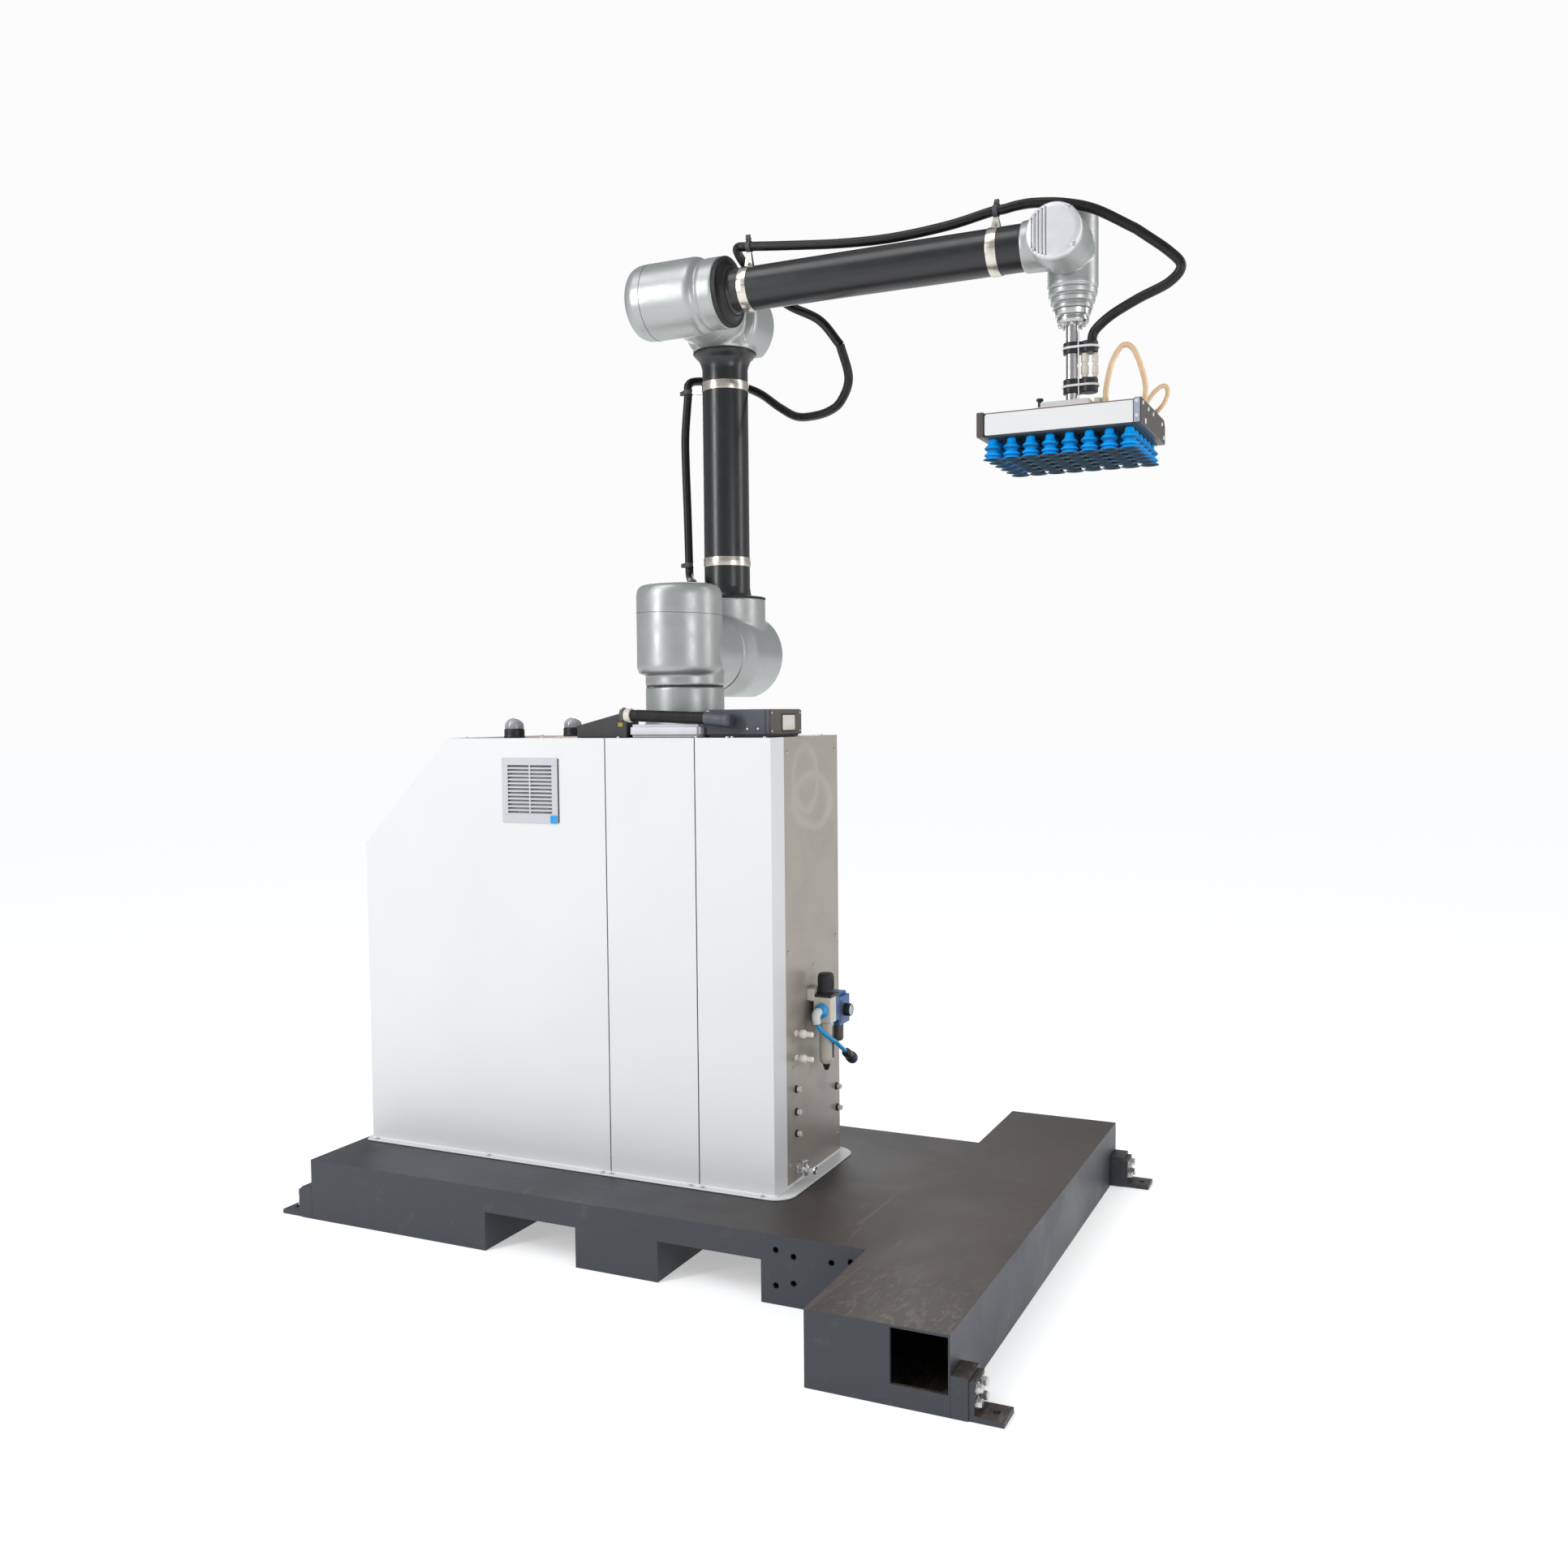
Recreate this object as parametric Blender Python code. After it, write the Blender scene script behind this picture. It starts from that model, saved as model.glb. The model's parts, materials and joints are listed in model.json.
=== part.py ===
"""Palletising robot on a forkliftable control cabinet: six-axis arm with a suction-cup gripper.

Metres, +Z up. The origin is on the floor, under the vertical axis of joint 1.
+X runs from the cabinet's long end to the crossbar, -Y is the cabinet's cover side.
"""
import math

import bmesh
import bpy
from mathutils import Matrix, Vector

GAP = 0.0003                       # clearance kept between touching pieces
SHEET = 0.002                      # cover sheet thickness

# base weldment
BASE_H = 0.12
PLATFORM_X = (-0.692, 0.498)
PLATFORM_Y = 0.315
CROSSBAR_X = (0.498, 0.725)
CROSSBAR_Y = 0.566
POCKET_H = 0.0736
POCKETS_X = ((-0.268, -0.068), (0.1035, 0.306))
BASE_WALL = 0.006
END_WINDOW_X = 0.634               # the crossbar's end windows start here
END_WINDOW_Z = (0.0325, 0.116)
BASE_HOLES = ((0.334, 0.094), (0.367, 0.087), (0.4365, 0.0875), (0.471, 0.094), (0.334, 0.0327),
              (0.367, 0.041))      # bolt holes in the long walls, X and Z

# cabinet
CAB_X = (-0.675, 0.2575)
CAB_Y = 0.154
CAB_Z = (0.1236, 0.958)
CHAMFER = 0.217
SEAMS_X = (-0.0906, 0.1021)
CORNER_FLANGE = 0.056
FAN = (-0.262, -0.139, 0.856)      # middle of the fan's rotor

# arm
SHOULDER_Z = 1.124                 # joint 2 axis
ELBOW_Z = 1.803                    # joint 3 axis and forearm axis
ARM_Y = 0.187                      # upper arm tube axis
WRIST_X = 0.747                    # joint 5 and joint 6 axes
TOOL_Y = 0.072                     # joint 6 axis
UPPER_TUBE_R = 0.047
FORE_TUBE_R = 0.040
CABLE_R = 0.0085
CLIP_WIDTH = 0.019
COVER_SEAT = 0.0062                # how deep a joint cover sits in its housing

# gripper
GRIP_HALF_X = 0.129
GRIP_Y = (-0.038, 0.182)
GRIP_Z = (1.479, 1.519)
CUP_ROWS = 6
CUPS_PER_ROW = 8
CUP_STEP_X = 0.0338
CUP_STEP_Y = 0.0365
CUP_H = 0.039
CUP_R = 0.0162

# dress cable: points on its route, stretch by stretch
CABLE_ROUTE = {
    "shoulder": [(-0.026, 0.086, 1.2363), (-0.026, 0.086, 1.2440), (-0.028, 0.091, 1.2550),
                 (-0.037, 0.106, 1.2670),
                 (-0.055, 0.136, 1.2740), (-0.073, 0.164, 1.2800), (-0.0860, 0.183, 1.2905),
                 (-0.0890, 0.187, 1.3000), (-0.0890, 0.187, 1.3068)],
    "upper_arm": [(-0.0890, 0.187, 1.3071), (-0.0895, 0.187, 1.3200), (-0.0916, 0.187, 1.4229),
                  (-0.0943, 0.187, 1.5191), (-0.0945, 0.187, 1.5830), (-0.0875, 0.187, 1.6600),
                  (-0.0868, 0.187, 1.6777)],
    "elbow_loop": [(-0.0868, 0.187, 1.6784), (-0.0868, 0.187, 1.6850), (-0.0820, 0.202, 1.6960),
                   (-0.0610, 0.238, 1.7010),
                   (-0.0100, 0.262, 1.6930), (0.0450, 0.254, 1.6700), (0.1060, 0.222, 1.6290),
                   (0.1550, 0.196, 1.6010), (0.2016, 0.170, 1.5917), (0.2500, 0.143, 1.5920),
                   (0.2860, 0.119, 1.6040), (0.3100, 0.099, 1.6410), (0.3000, 0.082, 1.7000),
                   (0.2610, 0.075, 1.7490), (0.2010, 0.075, 1.7830), (0.1520, 0.083, 1.8200),
                   (0.1200, 0.076, 1.8550), (0.1075, 0.052, 1.8780), (0.1130, 0.022, 1.8860),
                   (0.1240, 0.006, 1.8855), (0.1330, 0.0000, 1.8835), (0.1390, 0.0000, 1.8828)],
    "forearm": [(0.1403, 0, 1.8826), (0.1540, 0, 1.8815), (0.2300, 0, 1.8720), (0.3400, 0, 1.8600),
                (0.4380, 0, 1.8556), (0.5400, 0, 1.8610), (0.6100, 0, 1.8715), (0.6250, 0, 1.8735),
                (0.6377, 0, 1.8740)],
    "wrist_loop": [(0.6382, 0, 1.8740), (0.6460, 0, 1.8742), (0.6680, 0.001, 1.8770),
                   (0.6980, 0.005, 1.8780), (0.7480, 0.009, 1.8710), (0.8000, 0.018, 1.8550),
                   (0.8650, 0.035, 1.8180),
                   (0.9180, 0.045, 1.7760), (0.9372, 0.050, 1.7500), (0.9160, 0.055, 1.7270),
                   (0.8640, 0.060, 1.7080), (0.8180, 0.066, 1.6880), (0.7900, 0.071, 1.6690),
                   (0.7825, 0.072, 1.6570), (0.7820, 0.072, 1.6485)],
}

SIDES = 24                         # facets of a large turned piece
DEPTHS = {"X": Matrix.Rotation(math.radians(90), 4, "Y"),
          "Y": Matrix.Rotation(math.radians(-90), 4, "X"),
          "Z": Matrix.Identity(4)}

for old in list(bpy.data.objects):
    bpy.data.objects.remove(old)


# ---------------------------------------------------------------- helpers

def material(name, colour, roughness, metallic=0.0):
    """A Principled material of one colour."""
    made = bpy.data.materials.new(name)
    made.use_nodes = True
    shader = made.node_tree.nodes["Principled BSDF"]
    shader.inputs["Base Color"].default_value = (*colour, 1.0)
    shader.inputs["Roughness"].default_value = roughness
    shader.inputs["Metallic"].default_value = metallic
    made.diffuse_color = (*colour, 1.0)
    return made


COVER_WHITE = material("cover_white", (0.82, 0.83, 0.84), 0.4)
BASE_STEEL = material("base_anthracite", (0.055, 0.062, 0.078), 0.5)
PANEL_STEEL = material("panel_steel", (0.42, 0.38, 0.34), 0.35, 0.8)
ARM_SILVER = material("arm_silver", (0.52, 0.55, 0.57), 0.35, 0.7)
TUBE_BLACK = material("tube_black", (0.045, 0.048, 0.055), 0.4)
RUBBER = material("black_rubber", (0.012, 0.012, 0.012), 0.65)
STAINLESS = material("stainless", (0.72, 0.70, 0.66), 0.25, 1.0)
BOX_GREY = material("box_grey", (0.09, 0.10, 0.13), 0.5)
BLUE = material("blue_plastic", (0.0, 0.25, 0.75), 0.4)
CUP_BLUE = material("cup_silicone", (0.0, 0.30, 0.85), 0.5)
CREAM = material("cream_plastic", (0.75, 0.72, 0.64), 0.45)
LENS = material("lamp_lens", (0.6, 0.6, 0.66), 0.3)
BROWN = material("anodised_brown", (0.16, 0.11, 0.08), 0.45, 0.5)


def place(name, mesh_tool, finish, parent=None, smooth=None):
    """Make an object of a bmesh and hang it on its joint's empty."""
    mesh = bpy.data.meshes.new(name)
    bmesh.ops.recalc_face_normals(mesh_tool, faces=mesh_tool.faces)
    mesh_tool.to_mesh(mesh)
    mesh_tool.free()
    made = bpy.data.objects.new(name, mesh)
    bpy.context.scene.collection.objects.link(made)
    if finish:
        mesh.materials.append(finish)
    if smooth:
        mesh.shade_smooth()
        mesh.set_sharp_from_angle(angle=math.radians(smooth))
    if parent:
        made.parent = parent
        made.matrix_parent_inverse = Matrix.Translation(parent["spot"]).inverted()
    return made


def box(name, low, high, finish=None, parent=None, bevel=0.0, segments=2):
    """A block between two corners, with rounded edges where bevel is given."""
    tool = bmesh.new()
    bmesh.ops.create_cube(tool, size=1.0)
    size = Vector(high) - Vector(low)
    middle = (Vector(high) + Vector(low)) / 2
    bmesh.ops.scale(tool, vec=size, verts=tool.verts)
    bmesh.ops.translate(tool, vec=middle, verts=tool.verts)
    if bevel:
        bmesh.ops.bevel(tool, geom=tool.edges[:], offset=bevel, segments=segments, affect="EDGES")
    return place(name, tool, finish, parent, smooth=30 if bevel else None)


def blocks(name, corners):
    """Several separate blocks in one object, for cutting a row of windows."""
    tool = bmesh.new()
    for low, high in corners:
        made = bmesh.ops.create_cube(tool, size=1.0)["verts"]
        size = Vector(high) - Vector(low)
        bmesh.ops.scale(tool, vec=size, verts=made)
        bmesh.ops.translate(tool, vec=(Vector(high) + Vector(low)) / 2, verts=made)
    return place(name, tool, None)


def turn_into(tool, profile, placing, sides):
    """Add to a bmesh the solid that a closed outline of (radius, height) points sweeps out.

    The outline starts and ends on the axis, or else goes round a hollow middle.
    """
    angles = [2 * math.pi * step / sides for step in range(sides)]
    rings = [[tool.verts.new(placing @ Vector((radius * math.cos(angle), radius * math.sin(angle), height)))
              for angle in angles] for radius, height in profile if radius]
    solid = profile[0][0] == 0
    pairs = zip(rings, rings[1:] if solid else rings[1:] + rings[:1])
    for lower, upper in pairs:
        for step in range(sides):
            after = (step + 1) % sides
            tool.faces.new((lower[step], upper[step], upper[after], lower[after]))
    if solid:
        tool.faces.new(rings[0])
        tool.faces.new(rings[-1][::-1])


def turned(name, profile, axis="Z", centre=(0, 0, 0), finish=None, parent=None, sides=SIDES):
    """Turn a closed outline of (radius, height) points about an axis through centre.

    Height runs along +axis from centre. A solid's outline starts and ends with radius 0.
    """
    tool = bmesh.new()
    turn_into(tool, profile, Matrix.Translation(Vector(centre)) @ DEPTHS[axis], sides)
    return place(name, tool, finish, parent, smooth=40)


def rod(name, radius, low, high, axis="Z", centre=(0, 0, 0), finish=None, parent=None,
        sides=SIDES, edge=0.0):
    """A solid cylinder from low to high along its axis, with an optional edge chamfer."""
    if edge:
        outline = [(0, low), (radius - edge, low), (radius, low + edge),
                   (radius, high - edge), (radius - edge, high), (0, high)]
    else:
        outline = [(0, low), (radius, low), (radius, high), (0, high)]
    return turned(name, outline, axis, centre, finish, parent, sides)


def ring(name, inner, outer, low, high, axis="Z", centre=(0, 0, 0), finish=None, parent=None,
         sides=SIDES):
    """A tube wall between two radii."""
    outline = [(inner, low), (outer, low), (outer, high), (inner, high)]
    return turned(name, outline, axis, centre, finish, parent, sides)


def slab(name, outline, low, high, axis, finish=None, parent=None):
    """A flat outline pushed along an axis from low to high.

    The outline's two numbers are X and Z for axis Y, Y and Z for axis X, X and Y for axis Z.
    """
    def corner(a, b, depth):
        return {"Y": (a, depth, b), "X": (depth, a, b), "Z": (a, b, depth)}[axis]
    tool = bmesh.new()
    near = [tool.verts.new(corner(a, b, low)) for a, b in outline]
    far = [tool.verts.new(corner(a, b, high)) for a, b in outline]
    tool.faces.new(near)
    tool.faces.new(far[::-1])
    count = len(outline)
    for step in range(count):
        after = (step + 1) % count
        tool.faces.new((near[step], far[step], far[after], near[after]))
    return place(name, tool, finish, parent)


def cut(target, cutter, operation="DIFFERENCE"):
    """Cut a helper out of a piece, or join it on, and keep the helper out of the build."""
    step = target.modifiers.new(cutter.name, "BOOLEAN")
    step.operation = operation
    step.object = cutter
    cutter.hide_render = True
    cutter.display_type = "WIRE"


def join(target, helper):
    cut(target, helper, "UNION")


def smooth_route(points, step):
    """Points about one step apart on a smooth curve through the given ones."""
    found = []
    padded = [points[0] * 2 - points[1]] + points + [points[-1] * 2 - points[-2]]
    for index in range(1, len(padded) - 2):
        before, start, end, after = padded[index - 1:index + 3]
        pieces = max(1, round((end - start).length / step))
        for piece in range(pieces):
            t = piece / pieces
            found.append(0.5 * (2 * start + (end - before) * t
                                + (2 * before - 5 * start + 4 * end - after) * t * t
                                + (3 * start - before - 3 * end + after) * t ** 3))
    return found + [points[-1]]


def cable(name, points, radius, finish, parent=None, step=None, fineness=2):
    """A tube of round section along a smooth route."""
    route = smooth_route([Vector(p) for p in points], step or 5 * radius)
    curve = bpy.data.curves.new(name, "CURVE")
    curve.dimensions = "3D"
    curve.bevel_depth = radius
    curve.bevel_resolution = fineness
    curve.use_fill_caps = True
    spline = curve.splines.new("POLY")
    spline.points.add(len(route) - 1)
    for point, spot in zip(spline.points, route):
        point.co = (*spot, 1.0)
    made = bpy.data.objects.new(name, curve)
    bpy.context.scene.collection.objects.link(made)
    curve.materials.append(finish)
    if parent:
        made.parent = parent
        made.matrix_parent_inverse = Matrix.Translation(parent["spot"]).inverted()
    return made


def pivot(name, spot, parent=None):
    """An empty on a joint's axis."""
    made = bpy.data.objects.new(name, None)
    bpy.context.scene.collection.objects.link(made)
    made.location = spot if parent is None else Vector(spot) - Vector(parent["spot"])
    made["spot"] = spot
    made.parent = parent
    return made


def helper(maker, *arguments, **options):
    """A cutter made with one of the functions above."""
    helper.count += 1
    return maker(f"cutter_{helper.count}", *arguments, **options)


helper.count = 0


# ---------------------------------------------------------------- base weldment

def build_base():
    """The hollow T-shaped forklift base with its pockets, end windows and bolt holes."""
    left, right = PLATFORM_X
    far = CROSSBAR_X[1]
    outline = [(left, -PLATFORM_Y), (right, -PLATFORM_Y), (right, -CROSSBAR_Y), (far, -CROSSBAR_Y),
               (far, CROSSBAR_Y), (right, CROSSBAR_Y), (right, PLATFORM_Y), (left, PLATFORM_Y)]
    base = slab("base_weldment", outline, 0, BASE_H, "Z", BASE_STEEL)
    wall = BASE_WALL
    ceiling = BASE_H - wall
    cut(base, helper(blocks, [((low_x, -1, -1), (high_x, 1, POCKET_H)) for low_x, high_x in POCKETS_X]))
    # the feet and the crossbar are closed boxes, joined inside and open only through holes and windows
    feet = [(left, POCKETS_X[0][0]), (POCKETS_X[0][1], POCKETS_X[1][0]), (POCKETS_X[1][1], right)]
    inside_y = PLATFORM_Y - wall
    cut(base, helper(blocks, [((low_x + wall, -inside_y, wall), (high_x - wall, inside_y, ceiling))
                              for low_x, high_x in feet]))
    cut(base, helper(blocks, [((low_x - 2 * wall, -inside_y, POCKET_H + wall),
                               (high_x + 2 * wall, inside_y, ceiling)) for low_x, high_x in POCKETS_X]))
    bar_x = (right + wall, far - wall / 2)
    bar_y = CROSSBAR_Y - wall
    cut(base, helper(box, (bar_x[0], -bar_y, wall), (bar_x[1], bar_y, ceiling)))
    cut(base, helper(box, (END_WINDOW_X, -1, END_WINDOW_Z[0]), (bar_x[1], 1, END_WINDOW_Z[1])))
    for x, z in BASE_HOLES:
        cut(base, helper(rod, 0.0055, -1, 1, "Y", (x, 0, z), sides=10))


def build_anchors():
    """Four floor anchors: a spacer block on the base's end with an angle bracket bolted to it."""
    height, thickness, reach = 0.062, 0.026, 0.054
    plate, foot_length, upright = 0.0085, 0.052, 0.056
    inset = 0.004
    for end, face, side in (("left", PLATFORM_X[0], -1), ("right", CROSSBAR_X[1], 1)):
        half = PLATFORM_Y if side < 0 else CROSSBAR_Y
        for row, y in (("front", -half), ("rear", half - reach)):
            near = face + side * GAP
            start = near + side * thickness
            xs = sorted((near, start))
            anchor = box(f"anchor_{end}_{row}", (xs[0], y, 0), (xs[1], y + reach, height), BASE_STEEL)
            outline = [(start - side * inset, 0), (start + side * foot_length, 0),
                       (start + side * foot_length, plate), (start + side * plate, plate),
                       (start + side * plate, upright), (start - side * inset, upright)]
            join(anchor, helper(slab, outline, y + 0.002, y + reach - 0.002, "Y"))
            hole = (start + side * 0.034, y + reach / 2, 0)
            cut(anchor, helper(rod, 0.006, -1, 0.03, "Z", hole, sides=16))


# ---------------------------------------------------------------- cabinet

def build_cabinet_frame():
    """What carries the arm: the floor flange, the edge frame and the pedestal."""
    left, right = CAB_X
    low = CAB_Z[0]
    floor = BASE_H + GAP
    flange = box("cabinet_floor_flange", (left - 0.006, -0.169, floor), (0.2885, 0.169, low - GAP),
                 COVER_WHITE)
    cut(flange, helper(box, (left + 0.03, -0.13, 0), (right - 0.03, 0.13, 1)))
    bar = 0.022
    corner_low, corner_high = (-0.45, -0.149, low), (0.2535, 0.149, 0.9405)
    frame = box("cabinet_frame", corner_low, corner_high, BASE_STEEL)
    for axis in range(3):
        near = [value + bar for value in corner_low]
        far = [value - bar for value in corner_high]
        near[axis], far[axis] = -2, 2
        cut(frame, helper(box, near, far))
    # the fan's square housing hangs from the frame's top rail
    join(frame, helper(box, (FAN[0] - 0.059, -0.1515, FAN[2] - 0.059), (FAN[0] + 0.059, -0.128, 0.930)))
    cut(frame, helper(rod, 0.054, -1, 0.0, "Y", FAN[:1] + (0,) + FAN[2:], sides=24))
    pedestal = box("robot_pedestal", (-0.06, -0.06, floor), (0.06, 0.06, 0.945), BASE_STEEL)
    join(pedestal, helper(box, (-0.13, -0.145, 0.941), (0.13, 0.145, 0.9545)))
    cut(pedestal, helper(box, (-0.052, -0.052, 0), (0.052, 0.052, 0.941)))


def build_covers():
    """Sheet-metal covers, top plate and the connection panel."""
    left, right = CAB_X
    low, high = CAB_Z
    y_out, y_in = CAB_Y, CAB_Y - SHEET
    seam = 0.001
    sloped = [(left + 0.0025, low), (SEAMS_X[0] - seam, low), (SEAMS_X[0] - seam, high),
              (left + CHAMFER + 0.001, high), (left + 0.0025, high - CHAMFER + 0.0015)]
    cover = slab("front_cover_left", sloped, -y_out, -y_in, "Y", COVER_WHITE)
    cut(cover, helper(box, (-0.3225, -1, 0.797), (-0.201, 0, 0.9145)))
    box("front_cover_middle", (SEAMS_X[0] + seam, -y_out, low), (SEAMS_X[1] - seam, -y_in, high), COVER_WHITE)
    corner = [(SEAMS_X[1] + seam, -y_out), (right, -y_out), (right, -y_out + CORNER_FLANGE),
              (right - SHEET, -y_out + CORNER_FLANGE), (right - SHEET, -y_in),
              (SEAMS_X[1] + seam, -y_in)]
    slab("front_cover_right", corner, low, high, "Z", COVER_WHITE)
    whole = [sloped[0], (right - SHEET - GAP, low), (right - SHEET - GAP, high)] + sloped[3:]
    slab("rear_cover", whole, y_in, y_out, "Y", COVER_WHITE)
    end = [(left, low), (left, high - CHAMFER), (left + CHAMFER, high),
           (left + CHAMFER + 0.0008, high - SHEET), (left + SHEET, high - CHAMFER - 0.0008),
           (left + SHEET, low)]
    slab("end_cover", end, -y_in + GAP, y_in - GAP, "Y", COVER_WHITE)
    box("cabinet_top_plate", (left + CHAMFER + SHEET, -y_in + GAP, high - 0.003),
        (right - SHEET - GAP, y_in - GAP, high), BASE_STEEL)
    box("connection_panel", (right - SHEET, -y_out + CORNER_FLANGE + GAP, low), (right, y_out, high),
        PANEL_STEEL)


def build_cabinet_inside():
    """What the cabinet holds: controller, vacuum pump and the fan behind its grille."""
    box("robot_controller", (-0.40, -0.115, 0.18), (-0.14, 0.115, 0.55), BOX_GREY)
    rod("vacuum_pump", 0.055, 0.16, 0.36, "Z", (0.155, 0.03, 0), BASE_STEEL, sides=20, edge=0.008)
    grille = box("vent_grille", (-0.3265, -0.1565, 0.793), (-0.197, -CAB_Y - GAP, 0.9185), COVER_WHITE)
    half_width, pitch, opening = 0.0255, 0.0098, 0.0052
    cut(grille, helper(blocks, [((column - half_width, -1, 0.803 + row * pitch),
                                 (column + half_width, 1, 0.803 + row * pitch + opening))
                                for column in (-0.2905, -0.233) for row in range(11)]))
    rotor_axis = pivot("fan_axis", (FAN[0], FAN[1], FAN[2]))
    rotor = rod("fan_rotor", 0.019, -0.149, -0.129, "Y", (FAN[0], 0, FAN[2]), BLUE, rotor_axis, sides=16)
    for blade in range(5):
        vane = helper(box, (0.010, -0.008, -0.0012), (0.050, 0.008, 0.0012))
        vane.data.transform(Matrix.Translation(FAN) @ Matrix.Rotation(2 * math.pi * blade / 5, 4, "Y")
                            @ Matrix.Rotation(math.radians(32), 4, "X"))
        join(rotor, vane)


def build_cabinet_top():
    """Lamps, junction box, cable trunk and conduit on the cabinet's top."""
    top = CAB_Z[1] + GAP
    for row, y in (("front", -0.105), ("rear", 0.105)):
        dome = [(0, top), (0.0205, top), (0.0205, top + 0.0172), (0.0198, top + 0.0225)]
        for step in range(1, 5):
            angle = math.radians(90 * step / 5)
            dome.append((0.0198 * math.cos(angle), top + 0.0225 + 0.0165 * math.sin(angle)))
        dome += [(0.003, top + 0.039), (0, top + 0.039)]
        turned(f"beacon_{row}", dome, "Z", (-0.331, y, 0), LENS, sides=16)
    box("trunk_cover", (-0.047, -0.137, top), (0.104, -0.096, 0.983), COVER_WHITE, bevel=0.005)
    wedge = [(-0.162, top), (-0.050, top), (-0.050, 1.0045), (-0.058, 1.006), (-0.162, 0.981)]
    slab("cable_entry_box", wedge, -0.139, -0.094, "Y", RUBBER)
    junction = box("junction_box", (0.1064, -0.120, top + 0.004), (0.2425, 0.019, 1.0085), BOX_GREY,
                   bevel=0.003, segments=1)
    join(junction, helper(box, (0.112, -0.116, top), (0.238, 0.014, 0.970)))
    join(junction, helper(rod, 0.0125, -0.1500, -0.1150, "Y", (0.1725, 0, 0.9895), sides=20))
    cut(junction, helper(box, (0.2385, -0.068, 0.971), (1, -0.015, 0.998)))
    conduit = [(-0.0485, -0.131, 1.000), (-0.030, -0.1315, 0.9995), (0.02, -0.132, 0.9975),
               (0.08, -0.1335, 0.9950), (0.118, -0.1365, 0.9940), (0.145, -0.1375, 0.9910),
               (0.1595, -0.1375, 0.9900)]
    cable("conduit", conduit, 0.0115, RUBBER, step=0.02)


# ---------------------------------------------------------------- connection panel

def build_panel_fittings():
    """Filter regulator, valve unit and air hose on the right face."""
    face = CAB_X[1]
    body_x = (0.2688, 0.3050)
    column = (0.287, 0.0195, 0)
    body = box("regulator_body", (body_x[0], 0, 0.4135), (body_x[1], 0.0400, 0.4640), CREAM)
    join(body, helper(box, (face + GAP, 0.004, 0.4520), (body_x[0] + 0.001, 0.036, 0.4620)))
    join(body, helper(rod, 0.0165, 0.4600, 0.4700, "Z", column, sides=20))
    join(body, helper(rod, 0.0138, -0.0150, 0.0010, "Y", (column[0], 0, 0.4375), sides=20))
    valve = box("valve_unit", (body_x[0], 0.0403, 0.4010), (0.3065, 0.0930, 0.4560), BLUE)
    join(valve, helper(box, (face + GAP, 0.045, 0.4200), (body_x[0] + 0.001, 0.088, 0.4400)))
    join(valve, helper(rod, 0.0120, 0.3050, 0.3205, "X", (0, 0.0700, 0.4280), sides=20))
    join(valve, helper(rod, 0.0115, 0.3650, 0.4050, "Z", (column[0], 0.076, 0), sides=16))
    turn = pivot("knob_axis", (column[0], column[1], 0.4880))
    knob = [(0, 0.4703), (0.0158, 0.4703), (0.0155, 0.5040), (0.0135, 0.5065), (0, 0.5065)]
    turned("regulator_knob", knob, "Z", column, RUBBER, turn, sides=20)
    bowl = [(0, 0.3200), (0.0040, 0.3200), (0.0075, 0.3315), (0.0085, 0.3320), (0.0130, 0.3370),
            (0.0145, 0.4132), (0, 0.4132)]
    turned("filter_bowl", bowl, "Z", column, CREAM, sides=20)
    hose = [(0.2870, -0.0155, 0.4375), (0.2870, -0.0220, 0.4372), (0.2868, -0.0285, 0.4320),
            (0.2870, -0.0300, 0.4200), (0.2930, -0.0220, 0.4060), (0.3020, -0.0060, 0.3900),
            (0.3080, 0.0150, 0.3765), (0.3090, 0.0360, 0.3635), (0.3085, 0.0560, 0.3520),
            (0.3075, 0.0750, 0.3410), (0.3060, 0.1060, 0.3240)]
    cable("inlet_hose", hose, 0.0045, BLUE, step=0.010)


# ---------------------------------------------------------------- arm

def build_robot_base():
    """The arm's fixed foot on the cabinet, with its first drive inside."""
    top = CAB_Z[1] + GAP
    foot = box("robot_base", (-0.088, -0.090, top), (0.088, 0.090, 0.9750), ARM_SILVER)
    join(foot, helper(rod, 0.0767, top + 0.002, 1.0545))
    cut(foot, helper(rod, 0.0640, 0.9, 1.2))
    rod("joint_1_drive", 0.0560, top + 0.004, 1.0480, finish=BASE_STEEL, sides=24)


def build_shoulder(axis):
    """Joint 1's moving housing, which carries joint 2's drive on its side."""
    middle = (-0.004, -0.012, 0)
    side_axis = (0, 0, SHOULDER_Z)
    housing = rod("shoulder_housing", 0.0767, 1.0400, 1.0780, finish=ARM_SILVER, parent=axis)
    body = [(0, 1.0760), (0.0770, 1.0760), (0.0810, 1.0785), (0.0834, 1.0850), (0.0834, 1.2380),
            (0.0805, 1.2450), (0.0740, 1.2505), (0.0640, 1.2536), (0.0300, 1.2545), (0, 1.2545)]
    join(housing, helper(turned, body, "Z", middle))
    join(housing, helper(rod, 0.0860, 0, 0.0997, "Y", side_axis))
    gland_x, gland_y, gland_top = CABLE_ROUTE["shoulder"][0]
    join(housing, helper(rod, 0.0112, 1.1900, gland_top - GAP, "Z", (gland_x, gland_y, 0), sides=16))
    cut(housing, helper(rod, 0.0785, 1.0, 1.0558, sides=40))
    cut(housing, helper(rod, 0.0730, 1.0900, 1.2430, "Z", middle))
    cut(housing, helper(rod, 0.0600, -0.0520, 0.0940, "Y", side_axis))
    cut(housing, helper(rod, 0.0450, 1.0, 1.1000))
    rod("joint_2_drive", 0.0500, -0.0460, 0.0900, "Y", side_axis, BASE_STEEL, axis, sides=24)


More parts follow.
